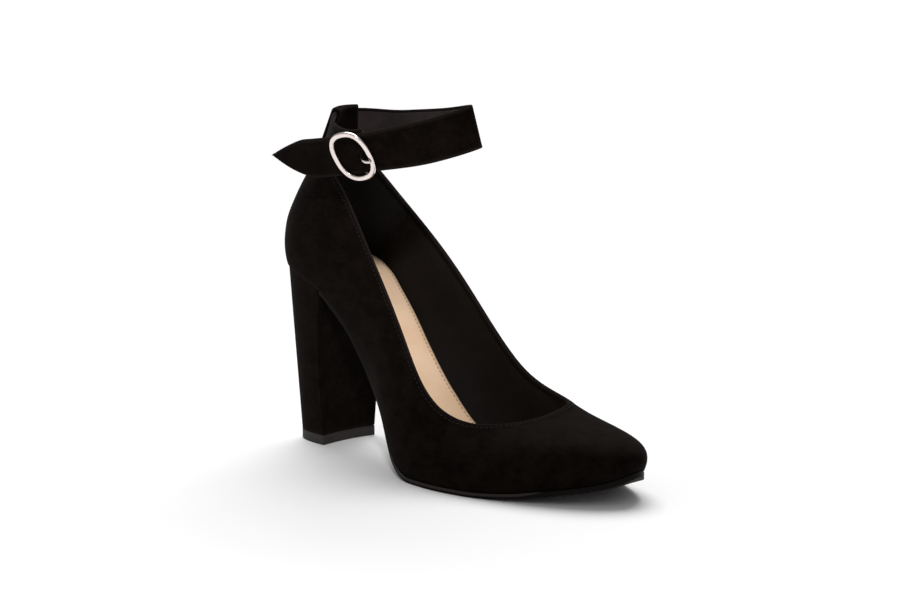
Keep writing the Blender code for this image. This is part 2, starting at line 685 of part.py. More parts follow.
def build_buckle_frame(place, material):
    """The ring and the bar across its back, as one casting."""
    half_width, half_height = (BUCKLE_WIDTH - BUCKLE_BAND) / 2, (BUCKLE_HEIGHT - BUCKLE_BAND) / 2
    turns = np.linspace(0.0, 2 * math.pi, RING_STATIONS, endpoint=False)
    swing = np.column_stack([np.cos(turns), np.sin(turns)])
    line = np.sign(swing) * np.abs(swing) ** (2 / BUCKLE_ROUNDNESS) * (half_width, half_height)
    ahead = np.roll(line, -1, axis=0) - np.roll(line, 1, axis=0)
    outward = unit(np.column_stack([ahead[:, 1], -ahead[:, 0]]))
    band, depth = BUCKLE_BAND / 2, BUCKLE_DEPTH / 2
    band_in, depth_in = band - BUCKLE_CORNER, depth - BUCKLE_CORNER
    section = (
        (band, -depth_in), (band, depth_in), (band_in, depth), (-band_in, depth),
        (-band, depth_in), (-band, -depth_in), (-band_in, -depth), (band_in, -depth),
    )
    rings = [
        [place.point(*(middle + out * across), RING_OUT + rise) for across, rise in section]
        for middle, out in zip(line, outward)
    ]
    frame = hoop("buckle_frame", rings, material)
    reach = half_height - BAR_DROP
    bends = [(half_height, RING_OUT), (reach, BAR_OUT), (0.0, BAR_OUT)]
    bends += [(-reach, BAR_OUT), (-half_height, RING_OUT)]
    path = [place.point(0.0, up, out) for up, out in bends]
    boolean(frame, tube("bar", path, BAR_RADIUS, place.forward, material), "UNION")
    return frame


def build_buckle_prong(place, material):
    """A pin hooked round the bar from behind, out through the strap's hole and over the ring's front."""
    hook = np.radians(np.linspace(*PRONG_HOOK_DEGREES, TUBE_SIDES + 1))
    route = [(HOOK_RADIUS * math.cos(turn), BAR_OUT + HOOK_RADIUS * math.sin(turn)) for turn in hook]
    face, front = STRAP_THICKNESS / 2, (BUCKLE_WIDTH - BUCKLE_BAND) / 2
    rest = RING_OUT + BUCKLE_DEPTH / 2 + GAP + PRONG_RADIUS
    route += [
        (HOLE_FORWARD - PRONG_LEAN, -face),
        (HOLE_FORWARD + PRONG_LEAN, face),
        (HOLE_FORWARD + 2 * PRONG_RADIUS, face + 2 * PRONG_RADIUS),
        (front - BUCKLE_BAND, rest),
        (front + BUCKLE_BAND / 4, rest),
    ]
    path = [place.prong_point(along, 0.0, out) for along, out in route]
    return tube("buckle_prong", path, PRONG_RADIUS, place.prong_side, material)


def finish(name, color, roughness, metallic=0.0):
    material = bpy.data.materials.new(name)
    material.use_nodes = True
    shader = material.node_tree.nodes["Principled BSDF"]
    shader.inputs["Base Color"].default_value = (*color, 1.0)
    shader.inputs["Roughness"].default_value = roughness
    shader.inputs["Metallic"].default_value = metallic
    return material


def main():
    for old in list(bpy.data.objects):
        bpy.data.objects.remove(old)
    suede = finish("black_suede", SUEDE_BLACK, roughness=0.95)
    nickel = finish("polished_nickel", NICKEL, roughness=0.16, metallic=1.0)
    build_upper(suede)
    build_outsole(finish("sole_leather", SOLE_BROWN_BLACK, roughness=0.55))
    build_insole(finish("tan_leather", INSOLE_TAN, roughness=0.6))
    build_heel(suede)
    build_top_lift(finish("lift_rubber", LIFT_GREY, roughness=0.7))
    place = BucklePlace(Strap(STRAP_FINE_STATIONS))
    build_strap(place, suede)
    build_carrier(suede)
    build_buckle_frame(place, nickel)
    build_buckle_prong(place, nickel)


main()
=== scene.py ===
"""A black suede pump with a block heel and a buckled ankle strap, dressed for a studio picture."""

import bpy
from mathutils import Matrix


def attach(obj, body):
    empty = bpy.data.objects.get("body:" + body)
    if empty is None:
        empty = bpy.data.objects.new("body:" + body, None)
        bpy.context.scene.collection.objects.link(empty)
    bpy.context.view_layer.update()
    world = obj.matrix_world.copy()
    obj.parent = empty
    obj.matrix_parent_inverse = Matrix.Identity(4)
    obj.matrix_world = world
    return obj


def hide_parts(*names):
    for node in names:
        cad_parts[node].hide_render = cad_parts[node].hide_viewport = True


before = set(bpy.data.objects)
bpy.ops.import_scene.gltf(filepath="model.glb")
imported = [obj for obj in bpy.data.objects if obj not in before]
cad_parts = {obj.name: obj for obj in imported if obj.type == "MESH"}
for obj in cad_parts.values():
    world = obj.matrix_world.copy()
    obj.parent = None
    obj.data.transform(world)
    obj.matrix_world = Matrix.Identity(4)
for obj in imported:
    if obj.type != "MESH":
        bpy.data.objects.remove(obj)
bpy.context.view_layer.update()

import math

import bmesh
import bpy
import numpy as np
from bpy.props import FloatProperty, FloatVectorProperty, PointerProperty
from mathutils import Vector

bl_info = {
    "name": "Ankle-strap pump",
    "version": (1, 0, 0),
    "blender": (4, 5, 0),
    "location": "3D View > Sidebar > Pump",
    "description": "Makes the suede, lining, sole, strap, buckle and stitches of a block-heeled pump",
    "category": "Object",
}

MM = 0.001
UP = np.array([0.0, 0.0, 1.0])

# The last, in millimetres; pairs of places between 0 and 1 are shares of its length, skews are slopes
LENGTH = 218.0
HEEL_BACK_X = -24.0
BALL_WIDTH = 76.0
HEEL_HEIGHT = 88.0
COLLAR_HEIGHT = 141.0
WALL = 1.8
GAP = 0.3
SOLE_THICKNESS = 2.3
SOLE_OVERHANG = 0.7
SOLE_TUCK = 0.9
SOLE_TUCK_ENDS = (0.38, 0.55)
# The painted highlight along the top of the sole's edge: its strength at the waist and at the ball, where it
# grows and where it fades before the toe
SOLE_RIM_WAIST = 0.7
SOLE_RIM_BALL = 1.6
SOLE_RIM_STARTS = (0.36, 0.52)
SOLE_RIM_ENDS = (0.80, 0.92)
SOCK_THICKNESS = 2.4
SOCK_SOFTNESS = 0.2
SEAT_PAD = 3.0
SEAT_PAD_ENDS = (0.225, 0.115)
SOCK_INSET = WALL + 0.15
TREAD_SKEW = 0.30
TREAD_SKEW_ALONG = 0.46
TOE_SKEW = -0.04
TOE_SKEW_ALONG = (0.76, 0.92)
TOE_SKEW_ACROSS = (-10.0, 16.0)
BREAST_X = 16.0
BREAST_HOLLOW = 1.6
BREAST_BOW = 2.2
HEEL_MIDDLE_X = (BREAST_X + HEEL_BACK_X) / 2
SEAT_INSET = 0.6
LIFT_THICKNESS = 4.9
LIFT_WIDTH = 33.4
LIFT_FRONT_X = 9.6
LIFT_BACK_X = -15.4
LIFT_SIDE_FULLNESS = 0.62
LIFT_BACK_FULLNESS = 0.72
HEEL_ROUND_SHARE = 1.3
LIFT_ROUND_SHARE = 0.6

# The strap and its buckle, in millimetres and degrees
STRAP_WIDTH = 20.4
STRAP_THICKNESS = 1.8
STRAP_POINT = 26.0
STRAP_POINT_CURVE = 1.5
STRAP_POINT_BLUNT = 0.06
CARRIER_WIDTH = 20.0
CARRIER_THICKNESS = 1.2
CARRIER_SEWN = 0.5
BUCKLE_FROM_POINT = 52.8
BUCKLE_HEIGHT = 26.0
BUCKLE_WIDTH = 22.2
BUCKLE_TURN = 5.0
BUCKLE_ROUNDNESS = 2.4
BUCKLE_BAND = 2.5
BUCKLE_DEPTH = 1.9
BAR_RADIUS = 0.7
BAR_DROP = 0.6
PRONG_RADIUS = 0.75
PRONG_LEAN = 0.15
PRONG_SLANT = -17.0
PRONG_SHIFT = -1.0
PRONG_HOOK_DEGREES = (190.0, 350.0)
RING_OUT = STRAP_THICKNESS / 2 + 2 * GAP + BUCKLE_DEPTH / 2
BAR_OUT = -(STRAP_THICKNESS / 2 + GAP + BAR_RADIUS)
HOOK_RADIUS = BAR_RADIUS + GAP + PRONG_RADIUS
HOLE_RADIUS = PRONG_RADIUS + GAP + 0.4
HOLE_FORWARD = 3.2
RING_FULLNESS = 2 / 2.7
BAR_LEG_DRAW = 0.3
BAR_ROOT = 0.4
BAR_FULL_SHARE = 0.6
PRONG_TIP = 0.02

# Small forms of the leather, in millimetres
FOLD_FALL = (0.7, 0.3)
SEAM_DIP = 0.30
SEAM_DIP_WIDTH = 0.6
FEATHER_TUCK = 0.55
FEATHER_TUCK_HEIGHT = 1.6
CREASE_CLEAR = (1.0, 7.0)
CREASE_RUN_IN_SHARE = 0.3
CREASE_END_SHARE = 0.35
RIM_DROP_SHARE = 0.75
TURNED_MARGIN = 4.0
TURNED_STEP = 0.5
SUEDE_BACK = WALL - 0.75
LINING_BACK = WALL - 0.65
LINING_FACE = WALL + 0.05
LINING_TOP = 3.6
LINING_SOFT = 0.5
LINING_SOFT_ENDS = (5.0, 3.4)
SOCK_ROLL = 0.9
SOCK_ROLL_WIDTH = 2.4
SOCK_DIP = 0.25
SOCK_EDGE_WIDTH = 1.3
SOLE_CORNER = 0.3
SOLE_EDGE_WIDTH = 1.6
STRAP_SKIN = 0.3
STRAP_CORNER = 0.7
STRAP_LINING = 0.5
STRAP_LINING_CORNER = 0.25
STRAP_LINING_INSET = 1.3
STRAP_LINING_END = 0.3
CARRIER_CORNERS = (1.4, 0.5)
THREAD_LIFT = 0.10
SOCK_THREAD_LIFT = 0.05
SOCK_SEAM_START = 14.0
SOCK_SEAM_END_ALONG = 0.72

# How far edges of the suede are lightened, from 0 to 1, and how wide, in millimetres: rubbed wear, and along
# the topline, the feather line and the strap's and carrier's edges also a painted highlight
HIGHLIGHT_AND_RUB_TOPLINE = 0.55
HIGHLIGHT_AND_RUB_TOPLINE_ENDS = (2.0, 0.2)
HIGHLIGHT_AND_RUB_FEATHER = 0.3
HIGHLIGHT_AND_RUB_FEATHER_HEIGHT = 0.9
RUB_INSIDE = 0.25
RUB_HEEL = 0.5
RUB_HEEL_WIDTH = 1.6
HIGHLIGHT_AND_RUB_STRAP = 0.8
RUB_STRAP_POINT = 0.4

# The studio, in metres
FLOOR_REACH = 14.0
SKYLIGHT_DISTANCE = 2.0
FILL_PLACE = (0.72, -0.65, 0.80)
FILL_AIM = (0.040, 0.0, 0.070)
FILL_ENERGY = 48.0
FILL_RADIUS = 0.08
FILL_CONE = math.radians(10.0)
SENSOR_WIDTH = 36.0
CLIP_START = 0.05
CLIP_END = 60.0

# The bottom of the last along its centre line: shares of the length and of the heel height
BOTTOM_PROFILE = (
    (0.000, 1.012),
    (0.100, 0.963),
    (0.185, 0.901),
    (0.230, 0.825),
    (0.285, 0.715),
    (0.340, 0.560),
    (0.405, 0.352),
    (0.465, 0.170),
    (0.510, 0.083),
    (0.555, 0.040),
    (0.590, SOLE_THICKNESS / HEEL_HEIGHT),
    (0.750, SOLE_THICKNESS / HEEL_HEIGHT),
    (0.830, 0.040),
    (0.885, 0.065),
    (0.930, 0.090),
    (0.960, 0.115),
    (1.000, 0.176),
)

# The ribs of the upper from the sole to the topline, round the last. Places along are shares of the
# length and places across shares of half the ball width; top_height is a share of the collar height.
# flare and lean are the wall's angles at the sole and the topline, and the arms how far it holds them.
RIB_COLUMNS = (
    "foot_along", "foot_across", "top_along", "top_across", "top_height",
    "flare", "lean", "foot_arm", "top_arm",
)
RIBS = (
    ("heel back",      (0.000, 0.000,   0.087, 0.000, 1.006,     20.0, 30.0, 19.0, 22.0)),
    ("outer counter",  (0.030, -0.400,  0.112, -0.312, 1.004,    18.0, 28.0, 19.0, 21.0)),
    ("outer heel",     (0.085, -0.610,  0.170, -0.465, 0.990,    14.0, 22.0, 19.0, 19.0)),
    ("outer breast",   (0.175, -0.670,  0.248, -0.545, 0.905,    11.0, 18.0, 18.0, 18.0)),
    ("outer arch",     (0.275, -0.645,  0.324, -0.608, 0.767,    12.0, 17.0, 18.0, 16.0)),
    ("outer waist",    (0.370, -0.648,  0.402, -0.655, 0.608,    14.0, 17.0, 18.0, 15.0)),
    ("outer tread",    (0.450, -0.825,  0.476, -0.720, 0.455,    16.0, 21.0, 15.0, 13.0)),
    ("outer joint",    (0.525, -0.958,  0.538, -0.768, 0.332,    16.0, 28.0, 12.0, 11.0)),
    ("outer ball",     (0.600, -1.000,  0.597, -0.740, 0.254,    15.0, 40.0, 11.0, 9.0)),
    ("outer vamp",     (0.685, -0.950,  0.660, -0.610, 0.220,    14.0, 54.0, 11.0, 10.0)),
    ("outer toe side", (0.780, -0.780,  0.712, -0.410, 0.220,    15.0, 66.0, 12.0, 15.0)),
    ("outer toe",      (0.876, -0.475,  0.742, -0.180, 0.228,    21.0, 74.0, 15.0, 24.0)),
    ("outer tip",      (0.957, -0.080,  0.756, 0.010, 0.236,     28.0, 77.0, 18.0, 32.0)),
    ("toe tip",        (0.993, 0.270,   0.760, 0.180, 0.244,     31.0, 77.0, 18.5, 33.0)),
    ("inner tip",      (0.964, 0.568,   0.757, 0.362, 0.251,     28.0, 75.0, 17.5, 28.0)),
    ("inner toe",      (0.881, 0.826,   0.748, 0.556, 0.257,     20.0, 69.0, 15.0, 19.0)),
    ("inner toe side", (0.790, 0.975,   0.718, 0.688, 0.263,     15.0, 60.0, 13.0, 13.0)),
    ("inner ball",     (0.690, 0.975,   0.652, 0.735, 0.284,     14.0, 46.0, 12.0, 10.0)),
    ("inner joint",    (0.600, 0.770,   0.580, 0.720, 0.338,     17.0, 32.0, 13.0, 12.0)),
    ("inner tread",    (0.510, 0.545,   0.502, 0.676, 0.453,     22.0, 24.0, 16.0, 14.0)),
    ("inner waist",    (0.410, 0.410,   0.420, 0.605, 0.603,     26.0, 18.0, 20.0, 16.0)),
    ("inner arch",     (0.300, 0.475,   0.332, 0.530, 0.743,     22.0, 18.0, 20.0, 18.0)),
    ("inner breast",   (0.185, 0.645,   0.234, 0.431, 0.8815,    12.0, 18.0, 18.0, 18.0)),
    ("inner heel",     (0.085, 0.615,   0.156, 0.386, 0.975,     14.0, 22.0, 19.0, 19.0)),
    ("inner counter",  (0.030, 0.400,   0.110, 0.303, 1.002,     18.0, 28.0, 19.0, 21.0)),
)

# The strap's middle line from its lap under the bar to its free point; lean is in degrees
STRAP_COLUMNS = ("x", "y", "z", "lean")
STRAP_ROUTE = (
    ("lap end",      (57.6, -29.0, 152.3, -24.0)),
    ("under bar",    (50.5, -30.0, 151.3, -25.0)),
    ("outer inside", (29.6, -25.0, 151.2, -4.0)),
    ("outer back",   (8.2, -10.6, 153.3, 18.0)),
    ("carrier",      (2.2, 0.0, 154.0, 24.0)),
    ("inner back",   (8.2, 10.6, 153.9, 18.0)),
    ("inner side",   (26.0, 16.8, 153.5, 10.0)),
    ("inner middle", (46.0, 14.6, 155.5, 8.0)),
    ("inner front",  (74.0, 8.6, 159.4, 12.0)),
    ("fold inside",  (94.6, 2.6, 163.0, 13.5)),
    ("fold",         (98.7, 0.0, 163.4, 13.0)),
    ("fold outside", (97.2, -4.2, 162.0, 11.5)),
    ("outer front",  (88.2, -18.2, 157.5, 2.0)),
    ("outer turn",   (77.4, -26.8, 154.4, -12.0)),
    ("buckle front", (60.5, -33.2, 150.8, -24.0)),
    ("buckle back",  (36.5, -37.4, 146.6, -24.0)),
    ("free end",     (20.0, -39.6, 144.6, -22.0)),
    ("point",        (2.4, -41.0, 144.8, -18.0)),
)

# Soft creases of the suede: both ends as shares of length, half ball width and collar height, then
# the width and depth in millimetres; a negative depth is a ridge
CREASE_COLUMNS = ("from", "to", "width", "depth")
CREASES = (
    ("outer flex fold",   ((0.640, -0.93, 0.105), (0.700, -0.42, 0.205), 5.0, 0.34)),
    ("inner flex fold",   ((0.660, 0.95, 0.150), (0.725, 0.55, 0.235), 5.0, 0.30)),
    ("toe puff edge",     ((0.800, -0.60, 0.110), (0.830, 0.30, 0.215), 8.0, -0.22)),
    ("outer waist fold",  ((0.330, -0.72, 0.480), (0.440, -0.76, 0.330), 6.0, 0.30)),
    ("inner waist fold",  ((0.320, 0.50, 0.500), (0.440, 0.60, 0.360), 6.0, 0.28)),
    ("outer counter top", ((0.020, -0.42, 0.790), (0.170, -0.66, 0.760), 7.0, -0.26)),
    ("outer quarter",     ((0.215, -0.60, 0.800), (0.290, -0.66, 0.640), 6.0, 0.26)),
    ("inner counter top", ((0.030, 0.42, 0.780), (0.180, 0.64, 0.740), 7.0, -0.24)),
)

# Fineness of the meshes
UPPER_RIBS = 420
UPPER_STEPS = 46
RIM_STEPS = 9
RIM_FOOT = 4
OUTLINE_POINTS = 1440
SOLE_STEP = 2.0
SOLE_END_CLEAR = 6 * SOLE_STEP
SOLE_STRIPS = 26
TOE_STATIONS = 18
HEEL_SIDE_POINTS = 150
HEEL_BREAST_POINTS = 40
HEEL_LEVELS = 44
LIFT_LEVELS = 5
STRAP_STATIONS = 460
STRAP_FINE_STATIONS = 2400
STRAP_STRIPS = 15
STRAP_LINING_STRIPS = 9
STRAP_POINT_STATIONS = 6
EDGE_STEPS = 8
CARRIER_STATIONS = 40
CARRIER_CORNER_POINTS = 6
RING_STATIONS = 160
SECTION_SIDES = 18
SOCK_SEAM_POINTS = 400


# Settings
def length(name, description, millimetres):
    return FloatProperty(name=name, description=description, default=millimetres * MM, unit="LENGTH")


def angle(name, description, degrees):
    return FloatProperty(
        name=name, description=description, default=math.radians(degrees), subtype="ANGLE")


def colour(name, description, default):
    return FloatVectorProperty(
        name=name, description=description, default=default, subtype="COLOR", min=0.0, max=1.0)


class PumpSizes(bpy.types.PropertyGroup):
    """Small sizes of the making that don't change the last"""

    fold_width: length("Topline fold", "Width of the folded edge round the topline", 3.4)
    fold_rise: length("Fold rise", "How far the folded edge stands proud of the upper", 0.28)
    seam_inset: length("Seam inset", "Distance of the topline stitches from the edge", 2.4)
    sock_seam_inset: length("Sock seam inset", "Distance of the sock's stitches from its edge", 2.0)
    stitch_pitch: length("Stitch pitch", "Distance from one stitch to the next", 2.3)
    stitch_length: length("Stitch length", "Length of thread that shows in each stitch", 1.8)
    thread_radius: length("Thread radius", "Half the thickness of the thread", 0.24)
    crease_strength: FloatProperty(
        name="Creases", description="Strength of the suede's creases",
        default=1.0, subtype="FACTOR", min=0.0, max=2.0)
    edge_round: length("Edge rounding", "Rounding of the sole's, heel's and lift's edges", 0.55)


class PumpColours(bpy.types.PropertyGroup):
    """Colours of the finishes"""

    suede_deep: colour("Suede, brushed down", "Suede where the nap lies away", (0.0021, 0.0012, 0.0007))
    suede_raised: colour("Suede, brushed up", "Suede where the nap stands up", (0.0058, 0.0037, 0.0026))
    # The lighter suede tone: painted highlight with rubbed wear along the suede's edges, and also fibre
    # flecks and sole scuffs
    suede_edge: colour("Suede edge", "Suede where an edge is folded", (0.014, 0.0105, 0.0095))
    lining: colour("Lining", "Lining of the upper", (0.0062, 0.0042, 0.0034))
    strap_lining: colour("Strap lining", "Lining of the strap", (0.044, 0.033, 0.033))
    sock: colour("Sock", "Leather of the insole's sock", (0.93, 0.665, 0.455))
    sock_shade: colour("Sock shade", "Deeper patches of the sock leather", (0.83, 0.55, 0.345))
    thread: colour("Thread", "Sewing thread of the upper", (0.0042, 0.0033, 0.0030))
    sock_thread: colour("Sock thread", "Sewing thread of the sock", (0.20, 0.125, 0.075))
    sole_edge: colour("Sole edge", "Stained edge of the sole", (0.0036, 0.0025, 0.0021))
    # Painted highlight along the top of the sole's edge
    sole_rim_highlight: colour("Sole rim", "Fine rubbed line along the top of the sole's edge", (0.032, 0.026, 0.025))
    sole_tread: colour("Sole tread", "Underside of the sole", (0.030, 0.0225, 0.020))
    lift: colour("Top lift", "Rubber under the heel", (0.0150, 0.0118, 0.0110))
    metal: colour("Buckle", "Polished metal of the buckle", (0.86, 0.765, 0.725))


class PumpStage(bpy.types.PropertyGroup):
    """Camera and light"""

    azimuth: angle("Azimuth", "Turn of the camera round the shoe from its outer side", 46.8)
    elevation: angle("Elevation", "Height of the camera above the floor", 10.6)
    distance: length("Distance", "Distance of the camera", 1440.0)
    lens: FloatProperty(name="Lens", description="Focal length in millimetres", default=117.52)
    aim_right: length("Aim right", "Aim to the right of the heel", 56.0)
    aim_up: length("Aim up", "Height of the aim above the floor", 68.8)
    surround: FloatProperty(
        name="Surround", description="Light that comes from all round", default=0.36)
    skylight: FloatProperty(
        name="Skylight", description="Strength of the high soft light", default=2.68)
    skylight_height: angle("Skylight height", "How high the soft light stands behind the shoe", 62.0)
    skylight_spread: angle("Skylight spread", "Width of the soft light, which softens the shadow", 45.0)
    floor: colour("Floor", "Pale studio floor", (0.93, 0.925, 0.925))


def sizes():
    return bpy.context.scene.pump_sizes


def colours():
    return bpy.context.scene.pump_colours


# Curves and tables
def table_rows(table):
    """The numbers of a table whose rows start with a place name."""
    return np.array([numbers for _, numbers in table])


def unit(vectors):
    return vectors / np.linalg.norm(vectors, axis=-1, keepdims=True)


def smoothstep(low, high, value):
    share = np.clip((value - low) / (high - low), 0.0, 1.0)
    return share * share * (3.0 - 2.0 * share)


def hump(value, width):
    return np.exp(-((value / width) ** 2))


def lengths_along(points):
    return np.concatenate([[0.0], np.cumsum(np.linalg.norm(np.diff(points, axis=0), axis=1))])


def even_spaced(points, count):
    """The same line with its points evenly spaced along it; columns after the third are carried along."""
    lengths = lengths_along(points[:, :3])
    wanted = np.linspace(0.0, lengths[-1], count)
    return np.column_stack([np.interp(wanted, lengths, column) for column in points.T])


def monotone_curve(places, values):
    """A cubic through the points that never overshoots them, and stays flat between equal values."""
    steps = np.diff(places)
    slopes = np.diff(values) / steps
    tangents = np.zeros(len(places))
    tangents[0], tangents[-1] = slopes[0], slopes[-1]
    for i in range(1, len(places) - 1):
        if slopes[i - 1] * slopes[i] > 0.0:
            before, after = 2 * steps[i] + steps[i - 1], steps[i] + 2 * steps[i - 1]
            tangents[i] = (before + after) / (before / slopes[i - 1] + after / slopes[i])

    def value_at(place):
        i = np.clip(np.searchsorted(places, place, side="right") - 1, 0, len(steps) - 1)
        s = (place - places[i]) / steps[i]
        return (
            values[i] * (1 + 2 * s) * (1 - s) ** 2
            + values[i + 1] * s * s * (3 - 2 * s)
            + steps[i] * (tangents[i] * s * (1 - s) ** 2 + tangents[i + 1] * s * s * (s - 1))
        )

    return value_at


def chord_knots(points, closed):
    """Curve parameters that keep a smooth curve from looping between unevenly spaced points."""
    ends = np.vstack([points, points[:1]]) if closed else points
    chords = np.linalg.norm(np.diff(ends, axis=0), axis=1)
    return np.concatenate([[0.0], np.cumsum(np.sqrt(chords))])


def smooth_curve(knots, rows, closed):
    """A curve with a continuous bend through the rows, which have one column for each value."""
    count, steps = len(rows), np.diff(knots)
    system, right = np.zeros((count, count)), np.zeros_like(rows)
    for i in range(count):
        if not closed and i in (0, count - 1):
            system[i, i] = 1.0
            continue
        before, after = steps[i - 1], steps[i]
        system[i, (i - 1) % count] += before
        system[i, i] += 2 * (before + after)
        system[i, (i + 1) % count] += after
        right[i] = 6 * ((rows[(i + 1) % count] - rows[i]) / after - (rows[i] - rows[i - 1]) / before)
    bends = np.linalg.solve(system, right)

    def value_at(places):
        places = np.mod(places, knots[-1]) if closed else np.asarray(places)
        i = np.clip(np.searchsorted(knots, places, side="right") - 1, 0, len(steps) - 1)
        j = (i + 1) % count
        step = steps[i][:, None]
        b = (places - knots[i])[:, None] / step
        a = 1 - b
        return a * rows[i] + b * rows[j] + ((a**3 - a) * bends[i] + (b**3 - b) * bends[j]) * step**2 / 6

    return value_at


# The last
def along_x(share):
    return HEEL_BACK_X + LENGTH * np.asarray(share)


def on_last(place):
    """A place given in shares of the length, half the ball width and the collar height."""
    along, across, height = place
    return np.array([along_x(along), across * BALL_WIDTH / 2, height * COLLAR_HEIGHT])


PROFILE_X = along_x([row[0] for row in BOTTOM_PROFILE])
PROFILE_HEIGHT = monotone_curve(PROFILE_X, HEEL_HEIGHT * np.array([row[1] for row in BOTTOM_PROFILE]))
RIB_ROWS = table_rows(RIBS)
RIB_FEET = np.column_stack([along_x(RIB_ROWS[:, 0]), RIB_ROWS[:, 1] * BALL_WIDTH / 2])
RIB_KNOTS = chord_knots(RIB_FEET, closed=True)
RIB_CURVE = smooth_curve(RIB_KNOTS, RIB_ROWS, closed=True)


def bottom_height(x, y):
    """Height of the last's bottom: the tread line runs aslant, further forward on the inner side.

    Under the inner side of the toe it runs nearly square.
    """
    inner_toe = smoothstep(*along_x(TOE_SKEW_ALONG), x) * smoothstep(*TOE_SKEW_ACROSS, y)
    skew = TREAD_SKEW * smoothstep(BREAST_X, along_x(TREAD_SKEW_ALONG), x)
    skew = skew + (TOE_SKEW - TREAD_SKEW) * inner_toe
    return PROFILE_HEIGHT(np.clip(x - skew * y, PROFILE_X[0], PROFILE_X[-1]))


def bottom_stretch(x, y):
    """How much longer than its square thickness a layer is when it is measured straight up."""
    reach = 0.5
    slope = (bottom_height(x + reach, y) - bottom_height(x - reach, y)) / (2 * reach)
    return np.sqrt(1.0 + slope**2)


def rib_values(places):
    """The rib table's columns by name, in millimetres and radians, at places round the last."""
    rib = dict(zip(RIB_COLUMNS, RIB_CURVE(places).T))
    for end in ("foot", "top"):
        rib[end + "_x"] = along_x(rib[end + "_along"])
        rib[end + "_y"] = rib[end + "_across"] * BALL_WIDTH / 2
    rib["top_z"] = rib["top_height"] * COLLAR_HEIGHT
    rib["flare"], rib["lean"] = np.radians(rib["flare"]), np.radians(rib["lean"])
    return rib


def feather_edge(places):
    """The upper's lower edge in plan, and the direction out of it."""
    reach = 0.01
    rib, ahead, behind = rib_values(places), rib_values(places + reach), rib_values(places - reach)
    edge = np.column_stack([rib["foot_x"], rib["foot_y"]])
    out = np.column_stack([behind["foot_y"] - ahead["foot_y"], ahead["foot_x"] - behind["foot_x"]])
    return edge, -unit(out) if out[0, 0] > 0 else unit(out)


def upper_surface(places, shares):
    """Points of the upper's outside: a row for each place, at these shares of the way to the topline."""
    rib = rib_values(places)
    edge, plan_out = feather_edge(places)
    out = np.column_stack([plan_out, np.zeros(len(places))])
    flare, lean = rib["flare"][:, None], rib["lean"][:, None]
    foot = np.column_stack([edge, bottom_height(edge[:, 0], edge[:, 1]) + GAP / 4])
    top = np.column_stack([rib["top_x"], rib["top_y"], rib["top_z"]])
    foot_guide = foot + rib["foot_arm"][:, None] * (out * np.sin(flare) + UP * np.cos(flare))
    top_guide = top + rib["top_arm"][:, None] * (out * np.sin(lean) - UP * np.cos(lean))
    t = shares[None, :, None]
    return (
        foot[:, None] * (1 - t) ** 3
        + 3 * foot_guide[:, None] * t * (1 - t) ** 2
        + 3 * top_guide[:, None] * t**2 * (1 - t)
        + top[:, None] * t**3
    )


def down_to_sole(points):
    """The same points moved straight down, or up, to just under the sole's top side."""
    z = bottom_height(points[:, 0], points[:, 1]) - GAP / 3
    return np.column_stack([points[:, :2], z])


def surface_normals(points):
    """Directions out of the upper's surface."""
    around = np.roll(points, -1, axis=0) - np.roll(points, 1, axis=0)
    normals = unit(np.cross(around, np.gradient(points, axis=1)))
    return -normals if np.sum(normals * (points - points.mean(axis=(0, 1)))) < 0 else normals


def crease_offsets(points):
    """How far the creases move points of the suede out of its plain surface."""
    moved = np.zeros(points.shape[:-1])
    for _, numbers in CREASES:
        crease = dict(zip(CREASE_COLUMNS, numbers))
        start, end = on_last(crease["from"]), on_last(crease["to"])
        run = end - start
        share = np.clip((points - start) @ run / (run @ run), 0.0, 1.0)
        off = np.linalg.norm(points - start - share[..., None] * run, axis=-1) / crease["width"]
        fade = smoothstep(0.0, CREASE_RUN_IN_SHARE, share) * smoothstep(1.0, 1 - CREASE_RUN_IN_SHARE, share)
        held = CREASE_END_SHARE + (1 - CREASE_END_SHARE) * fade
        moved -= crease["depth"] * held * (1 - off**2) * np.exp(-(off**2))
    return moved * sizes().crease_strength


class UpperSkin:
    """The lasted suede: points, directions out, and distances from the topline and from the sole."""

    def __init__(self):
        places = np.linspace(0.0, RIB_KNOTS[-1], UPPER_RIBS, endpoint=False)
        swing = np.linspace(0.0, math.pi, UPPER_STEPS + 1)
        shares = (1 - np.cos(swing)) / 2
        plain = upper_surface(places, shares)
        steps = np.linalg.norm(np.diff(plain, axis=1), axis=2)
        zero = np.zeros((len(places), 1))
        self.from_sole = np.concatenate([zero, np.cumsum(steps, axis=1)], axis=1)
        self.from_top = self.from_sole[:, -1:] - self.from_sole
        self.out = surface_normals(plain)
        self.plain = plain
        size = sizes()
        fold, inset = size.fold_width / MM, size.seam_inset / MM
        raised = size.fold_rise / MM * smoothstep(fold + FOLD_FALL[0], fold - FOLD_FALL[1], self.from_top)
        sewn = SEAM_DIP * hump(self.from_top - inset, SEAM_DIP_WIDTH)
        tucked = FEATHER_TUCK * (1 - smoothstep(0.0, FEATHER_TUCK_HEIGHT, self.from_sole)) ** 2
        creased = crease_offsets(plain) * smoothstep(*CREASE_CLEAR, self.from_top)
        rise = raised - sewn - tucked + creased
        self.points = plain + self.out * rise[..., None]
        self.points[:, 0] = down_to_sole(self.points[:, 0])

    def at_inset(self, inset, lift):
        """A line round the upper at a distance below the topline, and the directions out along it."""
        line, out = [], []
        for down, points, normals in zip(self.from_top, self.points, self.out):
            order = np.argsort(down)
            for values, found in ((points, line), (normals, out)):
                found.append([np.interp(inset, down[order], column[order]) for column in values.T])
        out = unit(np.array(out))
        return np.array(line) + out * lift, out


